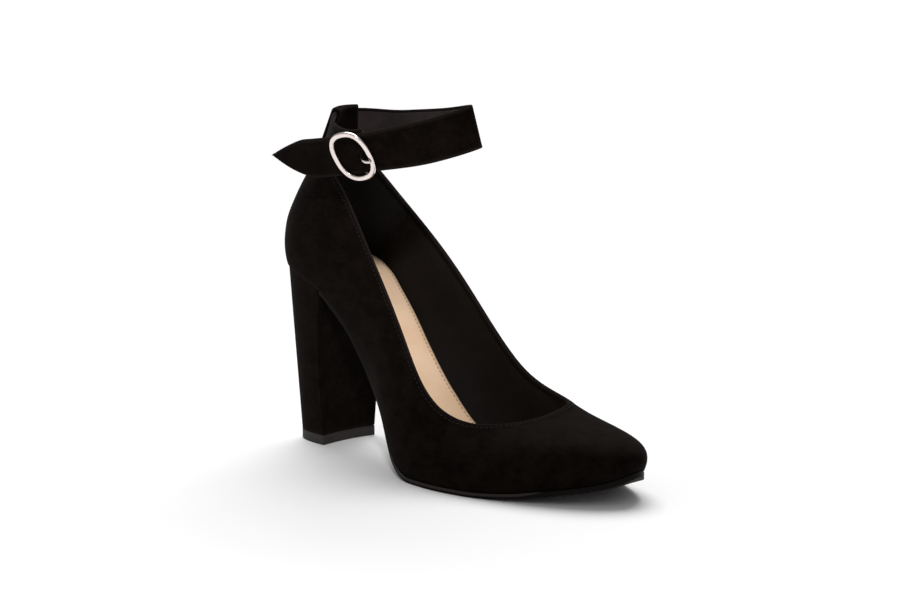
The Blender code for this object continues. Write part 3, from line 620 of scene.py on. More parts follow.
# Meshes
def new_piece(name, points, faces, material, **attributes):
    """A mesh object from points in millimetres, facing out, with a value at each point for each attribute."""
    mesh = bpy.data.meshes.new(name)
    mesh.from_pydata(np.asarray(points, dtype=float) * MM, [], faces)
    bm = bmesh.new()
    bm.from_mesh(mesh)
    bmesh.ops.recalc_face_normals(bm, faces=bm.faces)
    bm.to_mesh(mesh)
    bm.free()
    for title, values in attributes.items():
        layer = mesh.attributes.new(title, "FLOAT", "POINT")
        layer.data.foreach_set("value", np.ravel(values).astype(np.float32))
    mesh.shade_smooth()
    mesh.materials.append(material)
    piece = bpy.data.objects.new(name, mesh)
    bpy.context.scene.collection.objects.link(piece)
    return piece


def ring_faces(rings, size, closed):
    """Quads between rings of the same size that follow each other in one list of points."""
    here = np.arange(rings if closed else rings - 1)[:, None] * size
    there = (here + size) % (rings * size)
    k = np.arange(size)[None]
    n = (k + 1) % size
    return np.stack([here + k, here + n, there + n, there + k], axis=-1).reshape(-1, 4).tolist()


def loft(name, rings, material, closed=False, **attributes):
    """A solid through rings of the same size, which run in a closed loop or end with a face at both ends."""
    rings = np.asarray(rings)
    count, size = rings.shape[:2]
    faces = ring_faces(count, size, closed)
    if not closed:
        faces += [list(range(size)), list(range((count - 1) * size, count * size))]
    return new_piece(name, rings.reshape(-1, 3), faces, material, **attributes)


def tube(name, path, radii, sideways, material):
    """A round bar along a path of points, with a radius at each."""
    path = np.asarray(path)
    along = unit(np.gradient(path, axis=0))
    across = unit(np.cross(along, sideways))
    third = np.cross(along, across)
    turns = np.linspace(0.0, 2 * math.pi, SECTION_SIDES, endpoint=False)
    rings = np.stack([across * math.cos(turn) + third * math.sin(turn) for turn in turns], axis=1)
    return loft(name, path[:, None] + np.reshape(radii, (-1, 1, 1)) * rings, material)


def bake(piece):
    """The piece's mesh with its modifiers worked in and taken off."""
    made = bpy.data.meshes.new_from_object(piece.evaluated_get(bpy.context.evaluated_depsgraph_get()))
    piece.modifiers.clear()
    old, piece.data = piece.data, made
    bpy.data.meshes.remove(old)
    return piece


def boolean(piece, other, operation):
    """Join or cut a piece with other, which is used up."""
    modifier = piece.modifiers.new("boolean", "BOOLEAN")
    modifier.operation, modifier.solver, modifier.object = operation, "EXACT", other
    bake(piece)
    bpy.data.objects.remove(other)


def round_edges(piece, width, segments=3, angle=35.0):
    """Bevel the piece's sharp edges."""
    modifier = piece.modifiers.new("rounding", "BEVEL")
    modifier.width, modifier.segments = width, segments
    modifier.limit_method, modifier.angle_limit = "ANGLE", math.radians(angle)
    modifier.use_clamp_overlap = True
    bake(piece)
    piece.data.shade_smooth()


def settle(piece, slot, *nodes):
    """The piece moves with the shoe and stands for these solids, which are hidden; the slot is not used."""
    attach(piece, "root")
    if nodes:
        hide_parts(*nodes)


# Finishes
def arithmetic(operation):
    """An operator of Wire and its reflected form, for a number on the left."""

    def plain(self, other):
        return self.finish.node("ShaderNodeMath", {"operation": operation}, {0: self, 1: other})

    def reflected(self, other):
        return self.finish.node("ShaderNodeMath", {"operation": operation}, {0: other, 1: self})

    return plain, reflected


class Wire:
    """A socket in a finish. Arithmetic on it adds Math nodes."""

    def __init__(self, finish, socket):
        self.finish, self.socket = finish, socket

    __add__, __radd__ = arithmetic("ADD")
    __sub__, __rsub__ = arithmetic("SUBTRACT")
    __mul__, __rmul__ = arithmetic("MULTIPLY")


class Finish:
    """A Principled material whose node tree is written as expressions."""

    def __init__(self, name, **constants):
        self.material = bpy.data.materials.new(name)
        self.material.use_nodes = True
        self.tree = self.material.node_tree
        self.shader = self.tree.nodes["Principled BSDF"]
        for title, value in constants.items():
            self.shader.inputs[title.replace("_", " ")].default_value = value
        self.place = self.node("ShaderNodeTexCoord", output="Object")

    def node(self, kind, settings=None, sockets=None, output=0):
        """Any node: its settings first, then the values or wires of its sockets."""
        made = self.tree.nodes.new(kind)
        for title, value in (settings or {}).items():
            setattr(made, title, value)
        for key, value in (sockets or {}).items():
            if isinstance(value, Wire):
                self.tree.links.new(value.socket, made.inputs[key])
            else:
                made.inputs[key].default_value = value
        return Wire(self, made.outputs[output])

    def noise(self, size, detail=3.0, roughness=0.55, place=None):
        """Soft noise whose patches are about this many millimetres across."""
        sockets = {"Vector": place or self.place, "Scale": 1 / (size * MM), "Detail": detail}
        return self.node("ShaderNodeTexNoise", None, {**sockets, "Roughness": roughness})

    def cells(self, size):
        """Distance from the middle of cells about this many millimetres across."""
        sockets = {"Vector": self.place, "Scale": 1 / (size * MM)}
        return self.node("ShaderNodeTexVoronoi", {"feature": "F1"}, sockets, "Distance")

    def value_of(self, attribute):
        """A value that the mesh holds at its points."""
        return self.node("ShaderNodeAttribute", {"attribute_name": attribute}, None, "Fac")

    def between(self, value, low, high):
        """Where value lies between low and high, as a smooth share."""
        settings = {"interpolation_type": "SMOOTHSTEP"}
        return self.node("ShaderNodeMapRange", settings, {0: value, 1: low, 2: high, 3: 0.0, 4: 1.0})

    def blend(self, share, first, second):
        """From the first colour to the second."""
        first, second = [c if isinstance(c, Wire) else (*c, 1.0) for c in (first, second)]
        return self.node("ShaderNodeMix", {"data_type": "RGBA"}, {0: share, 6: first, 7: second}, 2)

    def stretched(self, scale):
        """Object coordinates drawn out along an axis."""
        return self.node("ShaderNodeMapping", None, {"Vector": self.place, "Scale": scale})

    def feed(self, **wires):
        for title, wire in wires.items():
            self.tree.links.new(wire.socket, self.shader.inputs[title.replace("_", " ")])

    def done(self, base, roughness, height, depth, strength):
        """The material with its colour, its roughness and a relief of this depth in millimetres."""
        sockets = {"Height": height, "Distance": depth * MM, "Strength": strength}
        bump = self.node("ShaderNodeBump", None, sockets)
        self.feed(Base_Color=base, Roughness=roughness, Normal=bump)
        return self.material


def suede():
    """Napped suede: brushed patches, short fibres, and lighter folded edges that carry a painted highlight
    with rubbed wear.
    """
    made = bpy.data.materials.get("black suede")
    if made:
        return made
    shade = colours()
    finish = Finish(
        "black suede", Sheen_Weight=0.02, Sheen_Roughness=0.40, Sheen_Tint=(0.90, 0.76, 0.74, 1.0),
        Specular_IOR_Level=0.03)
    brushed = finish.noise(9.0, 3.0, 0.6)
    streaks = finish.noise(2.2, 4.0, 0.65, finish.stretched((0.45, 1.0, 1.0)))
    fibres = finish.noise(0.42, 2.0, 0.7)
    raised = finish.between(brushed * 0.55 + streaks * 0.45, 0.36, 0.66)
    body = finish.blend(raised, shade.suede_deep, shade.suede_raised)
    flecks = finish.between(fibres, 0.56, 0.80) * 0.30
    body = finish.blend(flecks, body, shade.suede_edge)
    # Lighter edges: painted highlight along the topline fold, the feather line and the strap's edges, with
    # rubbed wear
    body = finish.blend(finish.value_of("edge") * 0.75, body, shade.suede_edge)
    return finish.done(body, 0.84 + fibres * 0.14, fibres * 0.6 + streaks * 0.4, 0.30, 0.55)


def lining(name, shade):
    """Thin dark lining leather with a fine grain."""
    finish = Finish(name, Sheen_Weight=0.03, Sheen_Roughness=0.5, Specular_IOR_Level=0.10)
    deep = tuple(0.65 * part for part in shade)
    grain = finish.cells(0.8)
    cloudy = finish.noise(14.0, 3.0)
    body = finish.blend(finish.between(cloudy, 0.3, 0.7), deep, shade)
    return finish.done(body, 0.58 + grain * 0.2, grain, 0.10, 0.5)


def sock_leather():
    """Pale tan leather with pores, soft clouds of colour and a darker edge."""
    shade = colours()
    finish = Finish("tan sock leather", Specular_IOR_Level=0.35, Coat_Roughness=0.4)
    clouds = finish.between(finish.noise(22.0, 4.0, 0.6), 0.34, 0.70)
    pores = finish.cells(0.55)
    wrinkles = finish.noise(1.5, 4.0, 0.6, finish.stretched((1.0, 0.5, 1.0)))
    body = finish.blend(clouds * 0.6 + finish.between(pores, 0.2, 0.0) * 0.25, shade.sock, shade.sock_shade)
    body = finish.blend(finish.value_of("edge") * 0.7, body, shade.sock_thread)
    return finish.done(body, 0.46 + wrinkles * 0.2, pores * 0.5 + wrinkles * 0.5, 0.12, 0.45)


def sole_leather():
    """Stained sole: a waxed dark edge with a painted highlight along its top, and a slightly lighter scuffed
    tread.
    """
    shade = colours()
    finish = Finish("sole leather", Specular_IOR_Level=0.04, Coat_Roughness=0.3)
    clouds = finish.noise(7.0, 4.0, 0.6)
    scuffs = finish.between(finish.noise(1.3, 3.0, 0.7, finish.stretched((0.12, 1.0, 1.0))), 0.60, 0.76)
    under = finish.value_of("under")
    body = finish.blend(under, shade.sole_edge, shade.sole_tread)
    # Painted highlight along the top of the sole's edge
    body = finish.blend(finish.between(finish.value_of("rim"), 0.66, 0.84), body, shade.sole_rim_highlight)
    body = finish.blend(clouds * 0.12 + scuffs * under * 0.25, body, shade.suede_edge)
    finish.feed(Coat_Weight=0.03 - under * 0.02)
    roughness = 0.42 + clouds * 0.16 + under * 0.14
    return finish.done(body, roughness, scuffs * under * 0.4 + clouds * 0.6, 0.10, 0.35)


def lift_rubber():
    """Matt rubber with a fine moulded grain and soft clouds of colour."""
    shade = colours()
    finish = Finish("lift rubber", Specular_IOR_Level=0.35)
    grain = finish.noise(0.5, 3.0, 0.7)
    clouds = finish.noise(6.0, 3.0)
    body = finish.blend(finish.between(clouds, 0.35, 0.7) * 0.5, shade.lift, shade.sole_tread)
    return finish.done(body, 0.58 + grain * 0.2, grain, 0.10, 0.4)


def buckle_metal():
    """Polished warm silver with faint polishing marks."""
    made = bpy.data.materials.get("buckle metal")
    if made:
        return made
    shade = colours()
    finish = Finish("buckle metal", Metallic=1.0)
    marks = finish.noise(0.35, 3.0, 0.7, finish.stretched((0.2, 1.0, 0.6)))
    clouds = finish.noise(5.0, 3.0)
    dull = tuple(0.86 * part for part in shade.metal)
    body = finish.blend(finish.between(clouds, 0.35, 0.7) * 0.5, shade.metal, dull)
    return finish.done(body, 0.10 + marks * 0.10 + clouds * 0.06, marks, 0.02, 0.25)


def thread(name, shade):
    """Twisted waxed thread."""
    finish = Finish(name, Sheen_Weight=0.05, Specular_IOR_Level=0.12)
    twist = finish.noise(0.35, 2.0, 0.6)
    pale = tuple(min(1.0, 1.9 * part) for part in shade)
    body = finish.blend(finish.between(twist, 0.35, 0.7), shade, pale)
    return finish.done(body, 0.5 + twist * 0.25, twist, 0.08, 0.6)


# Upper and lining
class PUMP_OT_upper(bpy.types.Operator):
    """Make the lasted suede with its folded topline, and the lining inside it"""

    bl_idname = "pump.upper"
    bl_label = "Suede upper"

    def execute(self, context):
        skin = UpperSkin()
        self.make_suede(skin)
        self.make_lining(skin)
        return {"FINISHED"}

    def make_suede(self, skin):
        """Up the outside, over the rim, a turned-in margin, and back down behind the lining."""
        top, out = skin.points[:, -1], skin.out[:, -1]
        rise = unit(top - skin.points[:, -RIM_FOOT])
        radius = (WALL + sizes().fold_rise / MM) / 2
        middle = top - out * radius - rise * radius * RIM_DROP_SHARE
        turns = np.linspace(0.0, math.pi, RIM_STEPS + 2)[1:-1]
        rim = np.stack([
            middle + radius * (out * math.cos(turn) + rise * math.sin(turn)) for turn in turns
        ], axis=1)
        keep = skin.from_top.max(axis=0) > radius
        outside = skin.points[:, keep]
        turned_in = smoothstep(TURNED_MARGIN + TURNED_STEP, TURNED_MARGIN, skin.from_top)
        depth = SUEDE_BACK + (WALL - SUEDE_BACK) * turned_in
        inside = (skin.plain - skin.out * depth[..., None])[:, keep][:, ::-1]
        inside[:, -1] = down_to_sole(inside[:, -1])
        # Painted highlight with rubbed wear along the topline and the feather line; the folded rim gets it in
        # full
        highlight_and_rub = HIGHLIGHT_AND_RUB_TOPLINE * smoothstep(*HIGHLIGHT_AND_RUB_TOPLINE_ENDS, skin.from_top)
        highlight_and_rub += HIGHLIGHT_AND_RUB_FEATHER * smoothstep(HIGHLIGHT_AND_RUB_FEATHER_HEIGHT, 0.0, skin.from_sole)
        edge = np.concatenate([
            highlight_and_rub[:, keep], np.ones(rim.shape[:2]), np.full(inside.shape[:2], RUB_INSIDE),
        ], axis=1)
        rings = np.concatenate([outside, rim, inside], axis=1)
        settle(loft("suede_upper", rings, suede(), True, edge=edge), "black_suede", "upper")

    def make_lining(self, skin):
        """A thin wall inside the suede that ends below the turned-in margin."""
        shown = skin.from_top.max(axis=0) > LINING_TOP
        soft = LINING_FACE - LINING_SOFT * smoothstep(*LINING_SOFT_ENDS, skin.from_top)
        outer = (skin.plain - skin.out * LINING_BACK)[:, shown]
        inner = (skin.plain - skin.out * soft[..., None])[:, shown][:, ::-1]
        outer[:, 0], inner[:, -1] = down_to_sole(outer[:, 0]), down_to_sole(inner[:, -1])
        leather = lining("dark lining", colours().lining)
        settle(loft("upper_lining", np.concatenate([outer, inner], axis=1), leather, True), "black_suede")


# Sole, sock, heel and lift
def plan_outline(outset):
    """The feather edge in plan, moved out by outset: its outer half and its inner half, heel to toe."""
    places = np.linspace(0.0, RIB_KNOTS[-1], OUTLINE_POINTS, endpoint=False)
    edge, out = feather_edge(places)
    edge = edge + out * np.reshape(outset(edge[:, 0]), (-1, 1))
    tip, back = int(np.argmax(edge[:, 0])), int(np.argmin(edge[:, 0]))
    edge = np.roll(edge, -back, axis=0)
    tip = (tip - back) % len(edge)
    return edge[: tip + 1], np.vstack([edge[tip:], edge[:1]])[::-1]


class Layer:
    """A bent layer of the shoe's bottom between two heights, from stations along it and strips across."""

    def __init__(self, outset, low, top, bottom):
        self.outer, self.inner = plan_outline(outset)
        self.rounded_low = low is None
        self.low = self.outer[0, 0] if self.rounded_low else low
        self.top, self.bottom = top, bottom
        spread = np.linspace(-1.0, 1.0, SOLE_STRIPS + 1)
        self.across = (1 + np.sin(spread * math.pi / 2)) / 2

    def stations(self):
        clear, high = SOLE_END_CLEAR, self.outer[-1, 0]
        low = self.low + clear if self.rounded_low else self.low
        even = np.linspace(low, high - clear, int((high - clear - low) / SOLE_STEP))
        swing = np.sin(np.linspace(0.0, math.pi / 2, TOE_STATIONS)[1:])
        heel = (low - clear * swing)[::-1] if self.rounded_low else np.zeros(0)
        return np.concatenate([heel, even, high - clear + clear * swing])

    def edges(self, x):
        return np.interp(x, *self.outer.T), np.interp(x, *self.inner.T)

    def build(self, name, material, **values):
        """The mesh; each value is a function of the side, 0 on top, x and the distance in from the edge."""
        stations, points, index = self.stations(), [], {}
        held = {title: [] for title in values}
        for side, height in enumerate((self.top, self.bottom)):
            for i, x in enumerate(stations):
                first, last = self.edges(x)
                pinched = last - first < GAP / 3
                y = np.full(1, (first + last) / 2) if pinched else first + (last - first) * self.across
                inward = np.minimum(y - first, last - y)
                xs = np.full_like(y, x)
                for k in range(len(self.across)):
                    index[side, i, k] = len(points) + (0 if pinched else k)
                points.extend(np.column_stack([xs, y, height(xs, y, inward)]))
                for title, value in values.items():
                    held[title].extend(value(side, xs, inward))
        faces = self.faces(index, len(stations) - 1)
        return new_piece(name, points, faces, material, **held)

    def faces(self, index, end):
        made = []

        def add(*corners):
            ring = list(dict.fromkeys(index[corner] for corner in corners))
            if len(ring) > 2:
                made.append(ring)

        for k in range(SOLE_STRIPS):
            for i in range(end):
                add((0, i, k), (0, i + 1, k), (0, i + 1, k + 1), (0, i, k + 1))
                add((1, i, k), (1, i, k + 1), (1, i + 1, k + 1), (1, i + 1, k))
            for i in (0, end):
                add((0, i, k), (0, i, k + 1), (1, i, k + 1), (1, i, k))
        for k in (0, SOLE_STRIPS):
            for i in range(end):
                add((0, i, k), (0, i + 1, k), (1, i + 1, k), (1, i, k))
        return made


class PUMP_OT_sole(bpy.types.Operator):
    """Make the outsole with its rounded, stained edge"""

    bl_idname = "pump.sole"
    bl_label = "Outsole"

    def execute(self, context):
        tuck_low, tuck_high = along_x(SOLE_TUCK_ENDS)

        def outset(x):
            return (SOLE_OVERHANG + SOLE_TUCK) * smoothstep(tuck_low, tuck_high, x) - SOLE_TUCK

        def topside(x, y, inward):
            return bottom_height(x, y)

        def underside(x, y, inward):
            return bottom_height(x, y) - SOLE_THICKNESS * bottom_stretch(x, y)

        def under(side, x, inward):
            return side * smoothstep(SOLE_CORNER, SOLE_EDGE_WIDTH, inward)

        # The rim: a painted highlight along the top of the sole's edge, stronger at the ball and fading
        # before the toe
        def rim(side, x, inward):
            towards_ball = smoothstep(*along_x(SOLE_RIM_STARTS), x)
            rim_highlight_strength = SOLE_RIM_WAIST + (SOLE_RIM_BALL - SOLE_RIM_WAIST) * towards_ball
            behind_toe = 1 - smoothstep(*along_x(SOLE_RIM_ENDS), x)
            return (1 - side) * np.where(inward < SOLE_CORNER, rim_highlight_strength * behind_toe, 0.0)

        layer = Layer(outset, BREAST_X + GAP / 3, topside, underside)
        piece = layer.build("leather_sole", sole_leather(), under=under, rim=rim)
        round_edges(piece, sizes().edge_round)
        settle(piece, "sole_leather", "outsole")
        return {"FINISHED"}


def sock_layer():
    """The sock's layer, padded under the heel and rolled at its edge."""
    inset = sizes().sock_seam_inset / MM

    def outset(x):
        return np.full_like(x, -SOCK_INSET)

    def underside(x, y, inward):
        return bottom_height(x, y) + GAP / 2

    def topside(x, y, inward):
        rolled = SOCK_ROLL * (1 - smoothstep(0.0, SOCK_ROLL_WIDTH, inward)) ** 2
        sewn = SOCK_DIP * hump(inward - inset, SEAM_DIP_WIDTH)
        pad = SEAT_PAD * smoothstep(*along_x(SEAT_PAD_ENDS), x)
        thick = SOCK_THICKNESS + SOCK_SOFTNESS + pad - (rolled + sewn)
        return underside(x, y, inward) + thick * bottom_stretch(x, y)

    return Layer(outset, None, topside, underside)


class PUMP_OT_sock(bpy.types.Operator):
    """Make the leather sock on the insole, soft at its edge"""

    bl_idname = "pump.sock"
    bl_label = "Insole sock"

    def execute(self, context):
        def edge(side, x, inward):
            return side + (1 - side) * (1 - smoothstep(0.0, SOCK_EDGE_WIDTH, inward))

        settle(sock_layer().build("tan_sock", sock_leather(), edge=edge), "tan_leather", "insole")
        return {"FINISHED"}


def seat_line():
    """The heel seat's edge in plan from the outer breast corner round the back to the inner one."""
    outer, inner = plan_outline(lambda x: np.full_like(x, -SEAT_INSET))
    outer, inner = outer[outer[:, 0] < BREAST_X], inner[inner[:, 0] < BREAST_X]
    line = np.vstack([outer[::-1], inner[1:]])
    line[[0, -1], 0] = BREAST_X
    return even_spaced(line, HEEL_SIDE_POINTS)


def lift_line():
    """The heel's edge at the floor: nearly straight sides that round into the back."""
    swing = np.linspace(-math.pi / 2, math.pi / 2, HEEL_SIDE_POINTS * 3)
    across = np.sign(swing) * np.abs(np.sin(swing)) ** LIFT_SIDE_FULLNESS
    back = np.abs(np.cos(swing)) ** LIFT_BACK_FULLNESS
    line = np.column_stack([LIFT_FRONT_X + (LIFT_BACK_X - LIFT_FRONT_X) * back, across * LIFT_WIDTH / 2])
    return even_spaced(line, HEEL_SIDE_POINTS)


def heel_outline(rise):
    """The heel in plan from the lift, at rise 0, to the seat, at rise 1: sides, then the hollow breast.

    The breast is bowed back a little between the two.
    """
    seat, lift = seat_line(), lift_line()
    sides = lift + (seat - lift) * rise
    towards_breast = smoothstep(HEEL_MIDDLE_X, BREAST_X, sides[:, 0])
    sides[:, 0] -= BREAST_BOW * 4 * rise * (1 - rise) * towards_breast
    share = np.linspace(0.0, 1.0, HEEL_BREAST_POINTS + 2)[1:-1]
    breast = sides[-1] + (sides[0] - sides[-1]) * share[:, None]
    breast[:, 0] -= BREAST_HOLLOW * (1 - rise) * 4 * share * (1 - share)
    return np.vstack([sides, breast])


class PUMP_OT_heel(bpy.types.Operator):
    """Make the suede-covered block heel and the rubber top lift under it"""

    bl_idname = "pump.heel"
    bl_label = "Heel and top lift"

    def execute(self, context):
        floor_z = LIFT_THICKNESS + GAP / 3
        rings, edge = [], []
        for rise in np.linspace(0.0, 1.0, HEEL_LEVELS):
            plan = heel_outline(rise)
            seat_z = bottom_height(plan[:, 0], plan[:, 1])
            z = floor_z + (seat_z - floor_z) * rise
            rings.append(np.column_stack([plan, z]))
            edge.append(RUB_HEEL * smoothstep(RUB_HEEL_WIDTH, 0.0, np.minimum(z - floor_z, seat_z - z)))
        cover = loft("heel_cover", rings, suede(), edge=np.array(edge))
        round_edges(cover, HEEL_ROUND_SHARE * sizes().edge_round, 4)
        settle(cover, "black_suede", "heel")
        plan = heel_outline(0.0)
        levels = np.linspace(0.0, LIFT_THICKNESS, LIFT_LEVELS)
        rings = [np.column_stack([plan, np.full(len(plan), z)]) for z in levels]
        lift = loft("heel_lift", rings, lift_rubber())
        round_edges(lift, LIFT_ROUND_SHARE * sizes().edge_round)
        settle(lift, "lift_rubber", "top_lift")
        return {"FINISHED"}


# Strap, carrier and buckle
class Strap:
    """Evenly spaced stations of the strap: its middle line, lengths, and directions along, out and up."""

    LEAST_HALF = 0.05

    def __init__(self, count):
        rows = table_rows(STRAP_ROUTE)
        knots = chord_knots(rows[:, :3], closed=False)
        fine = smooth_curve(knots, rows, closed=False)(np.linspace(0.0, knots[-1], STRAP_FINE_STATIONS))
        route = dict(zip(STRAP_COLUMNS, even_spaced(fine, count).T))
        lean = np.radians(route["lean"])[:, None]
        self.middle = np.column_stack([route["x"], route["y"], route["z"]])
        self.lengths = lengths_along(self.middle)
        self.along = unit(np.gradient(self.middle, axis=0))
        level_out = unit(np.column_stack([-self.along[:, 1], self.along[:, 0], np.zeros(count)]))
        upright = np.cross(level_out, self.along)
        self.up = -upright * np.cos(lean) - level_out * np.sin(lean)
        self.out = np.cross(self.up, self.along)

    def station_at(self, length):
        return int(np.argmin(np.abs(self.lengths - length)))

    def half_widths(self):
        """Half the width along the strap, drawn in to a blunt point at its free end."""
        point_start = self.lengths[-1] - STRAP_POINT
        into_point = np.clip((self.lengths - point_start) / STRAP_POINT, 0.0, 1.0)
        blunt = STRAP_POINT_BLUNT * np.sqrt(1 - smoothstep(1 - STRAP_POINT_BLUNT, 1.0, into_point) ** 2)
        return STRAP_WIDTH / 2 * np.maximum(1 - into_point**STRAP_POINT_CURVE, blunt)

    def rings(self, halves, shape):
        """A ring at each station from a section: distances out, shares of the half width up, and corners."""
        out, up, corner = np.array(shape).T
        reach = up[None] * np.maximum(halves[:, None] - corner[None], self.LEAST_HALF)
        outward = self.out[:, None] * out[None, :, None]
        return self.middle[:, None] + outward + self.up[:, None] * reach[..., None]


def band_shape(near, far, corner, strips):
    """A strap's section with rounded edges: distance out, share of the half width up, and corner."""
    middle, radius = (near + far) / 2, (far - near) / 2
    face = np.linspace(-1.0, 1.0, strips)
    turns = np.linspace(-math.pi / 2, math.pi / 2, EDGE_STEPS + 1)[1:-1]
    shape = [(far, share, corner) for share in face]
    shape += [(middle - radius * math.sin(turn), 1.0, corner * (1 - math.cos(turn))) for turn in turns]
    shape += [(near, -share, corner) for share in face]
    shape += [(middle + radius * math.sin(turn), -1.0, corner * (1 - math.cos(turn))) for turn in turns]
    return shape


def turned(forward, up, degrees):
    """Two directions square to each other, turned together from forward towards up."""
    turn = math.radians(degrees)
    return forward * math.cos(turn) + up * math.sin(turn), up * math.cos(turn) - forward * math.sin(turn)


class BucklePlace:
    """The buckle's own directions on the strap, forward, up and out of its face, and its prong's."""

    def __init__(self, strap):
        station = strap.station_at(strap.lengths[-1] - BUCKLE_FROM_POINT)
        self.middle, self.out = strap.middle[station], strap.out[station]
        self.forward, self.up = turned(-strap.along[station], strap.up[station], BUCKLE_TURN)
        self.prong_along, self.prong_side = turned(self.forward, self.up, PRONG_SLANT)

    def point(self, forward, up, out):
        return self.middle + self.forward * forward + self.up * up + self.out * out

    def prong_point(self, along, side, out):
        """A place on the prong's line, which slants down from its seat on the bar."""
        seat = self.middle + self.up * PRONG_SHIFT
        return seat + self.prong_along * along + self.prong_side * side + self.out * out


class PUMP_OT_strap(bpy.types.Operator):
    """Make the ankle strap with its turned edges and lining, and the loop that carries it"""

    bl_idname = "pump.strap"
    bl_label = "Ankle strap and carrier"

    def execute(self, context):
        strap, fine = Strap(STRAP_STATIONS), Strap(STRAP_FINE_STATIONS)
        self.make_band(strap, BucklePlace(fine))
        self.make_lining(strap)
        self.make_carrier(fine)
        return {"FINISHED"}

    def make_band(self, strap, place):
        """The suede band with its turned edges, its point and the prong's hole."""
        half = STRAP_THICKNESS / 2
        shape = band_shape(-half + STRAP_SKIN, half, STRAP_CORNER, STRAP_STRIPS)
        rings = strap.rings(strap.half_widths(), shape)
        at_edge = np.array([abs(up) == 1.0 for _, up, _ in shape])
        # Painted highlight with rubbed wear along the strap's edges
        edge = np.tile(HIGHLIGHT_AND_RUB_STRAP * at_edge, (len(rings), 1))
        edge[-STRAP_POINT_STATIONS:] = np.maximum(edge[-STRAP_POINT_STATIONS:], RUB_STRAP_POINT)
        band = loft("strap_suede", rings, suede(), edge=edge)
        through = [place.prong_point(HOLE_FORWARD, 0.0, out) for out in (-half - GAP, half + 2 * GAP)]
        hole = tube("hole", through, (HOLE_RADIUS, HOLE_RADIUS), place.prong_side, suede())
        boolean(band, hole, "DIFFERENCE")
        settle(band, "black_suede", "ankle_strap")

    def make_lining(self, strap):
        """A thin leather band inside the strap, narrower than it."""
        back = -STRAP_THICKNESS / 2
        shape = band_shape(back, back + STRAP_LINING, STRAP_LINING_CORNER, STRAP_LINING_STRIPS)
        halves = np.maximum(strap.half_widths() - STRAP_LINING_INSET, STRAP_LINING_END)
        leather = lining("strap lining", colours().strap_lining)
        settle(loft("strap_lining", strap.rings(halves, shape), leather), "black_suede")

    def make_carrier(self, strap):
        """A loop round the strap, with rounded side edges and a foot on the collar."""
        home = np.array(dict(STRAP_ROUTE)["carrier"][:3])
        centre = strap.lengths[np.argmin(np.linalg.norm(strap.middle - home, axis=1))]
        reaches = np.linspace(-CARRIER_WIDTH / 2, CARRIER_WIDTH / 2, CARRIER_STATIONS)
        stations = [strap.station_at(centre + reach) for reach in reaches]
        near, low = STRAP_THICKNESS / 2 + GAP, STRAP_WIDTH / 2 + GAP
        outside = self.loop_shape(near + CARRIER_THICKNESS, low + CARRIER_THICKNESS, CARRIER_CORNERS[0])
        inside = self.loop_shape(near, low, CARRIER_CORNERS[1])
        shapes = [self.with_foot(strap, station, outside) for station in stations]
        outer = [self.ring(strap, station, shape) for station, shape in zip(stations, shapes)]
        inner = [self.ring(strap, station, inside) for station in reversed(stations)]
        front = self.side_edge(strap, stations[-1], shapes[-1], inside, 1)
        back = self.side_edge(strap, stations[0], inside, shapes[0], -1)
        # Painted highlight with rubbed wear along the loop's side edges
        edge = np.repeat((0.0, HIGHLIGHT_AND_RUB_STRAP) * 2, [len(part) for part in (outer, front, inner, back)])
        edge = np.tile(edge[:, None], (1, len(outside)))
        rings = outer + front + inner + back
        settle(loft("carrier_loop", rings, suede(), True, edge=edge), "black_suede", "strap_carrier")

    def loop_shape(self, out, up, corner):
        """A rounded rectangle of points, as distances out and up."""
        turns = np.linspace(0.0, math.pi / 2, CARRIER_CORNER_POINTS)
        shape = []
        for side_out, side_up, start in ((1, 1, 0), (-1, 1, 1), (-1, -1, 2), (1, -1, 3)):
            angles = turns + start * math.pi / 2
            centre = np.array([side_out * (out - corner), side_up * (up - corner)])
            shape.extend(centre + corner * np.column_stack([np.cos(angles), np.sin(angles)]))
        return np.array(shape)

    def with_foot(self, strap, station, shape):
        """The loop's shape with its foot sewn down on the collar's rim."""
        places = np.linspace(0.0, RIB_KNOTS[-1], OUTLINE_POINTS, endpoint=False)
        rim = upper_surface(places, np.ones(1))
        underside = self.ring(strap, station, shape[shape[:, 1] < 0.0])
        drop = np.linalg.norm(rim - underside, axis=2).min() + CARRIER_SEWN
        return shape - np.column_stack([np.zeros(len(shape)), np.where(shape[:, 1] < 0.0, drop, 0.0)])

    def ring(self, strap, station, shape):
        return strap.middle[station] + shape[:, :1] * strap.out[station] + shape[:, 1:] * strap.up[station]

    def side_edge(self, strap, station, first, second, way):
        """Rings of the loop's rounded side edge, from one shape to another and out along the strap."""
        rings = []
        for share in np.linspace(0.0, 1.0, EDGE_STEPS + 1)[1:-1]:
            ring = self.ring(strap, station, first + (second - first) * share)
            swell = way * math.sin(math.pi * share)
            rings.append(ring + strap.along[station] * swell * CARRIER_THICKNESS / 2)
        return rings


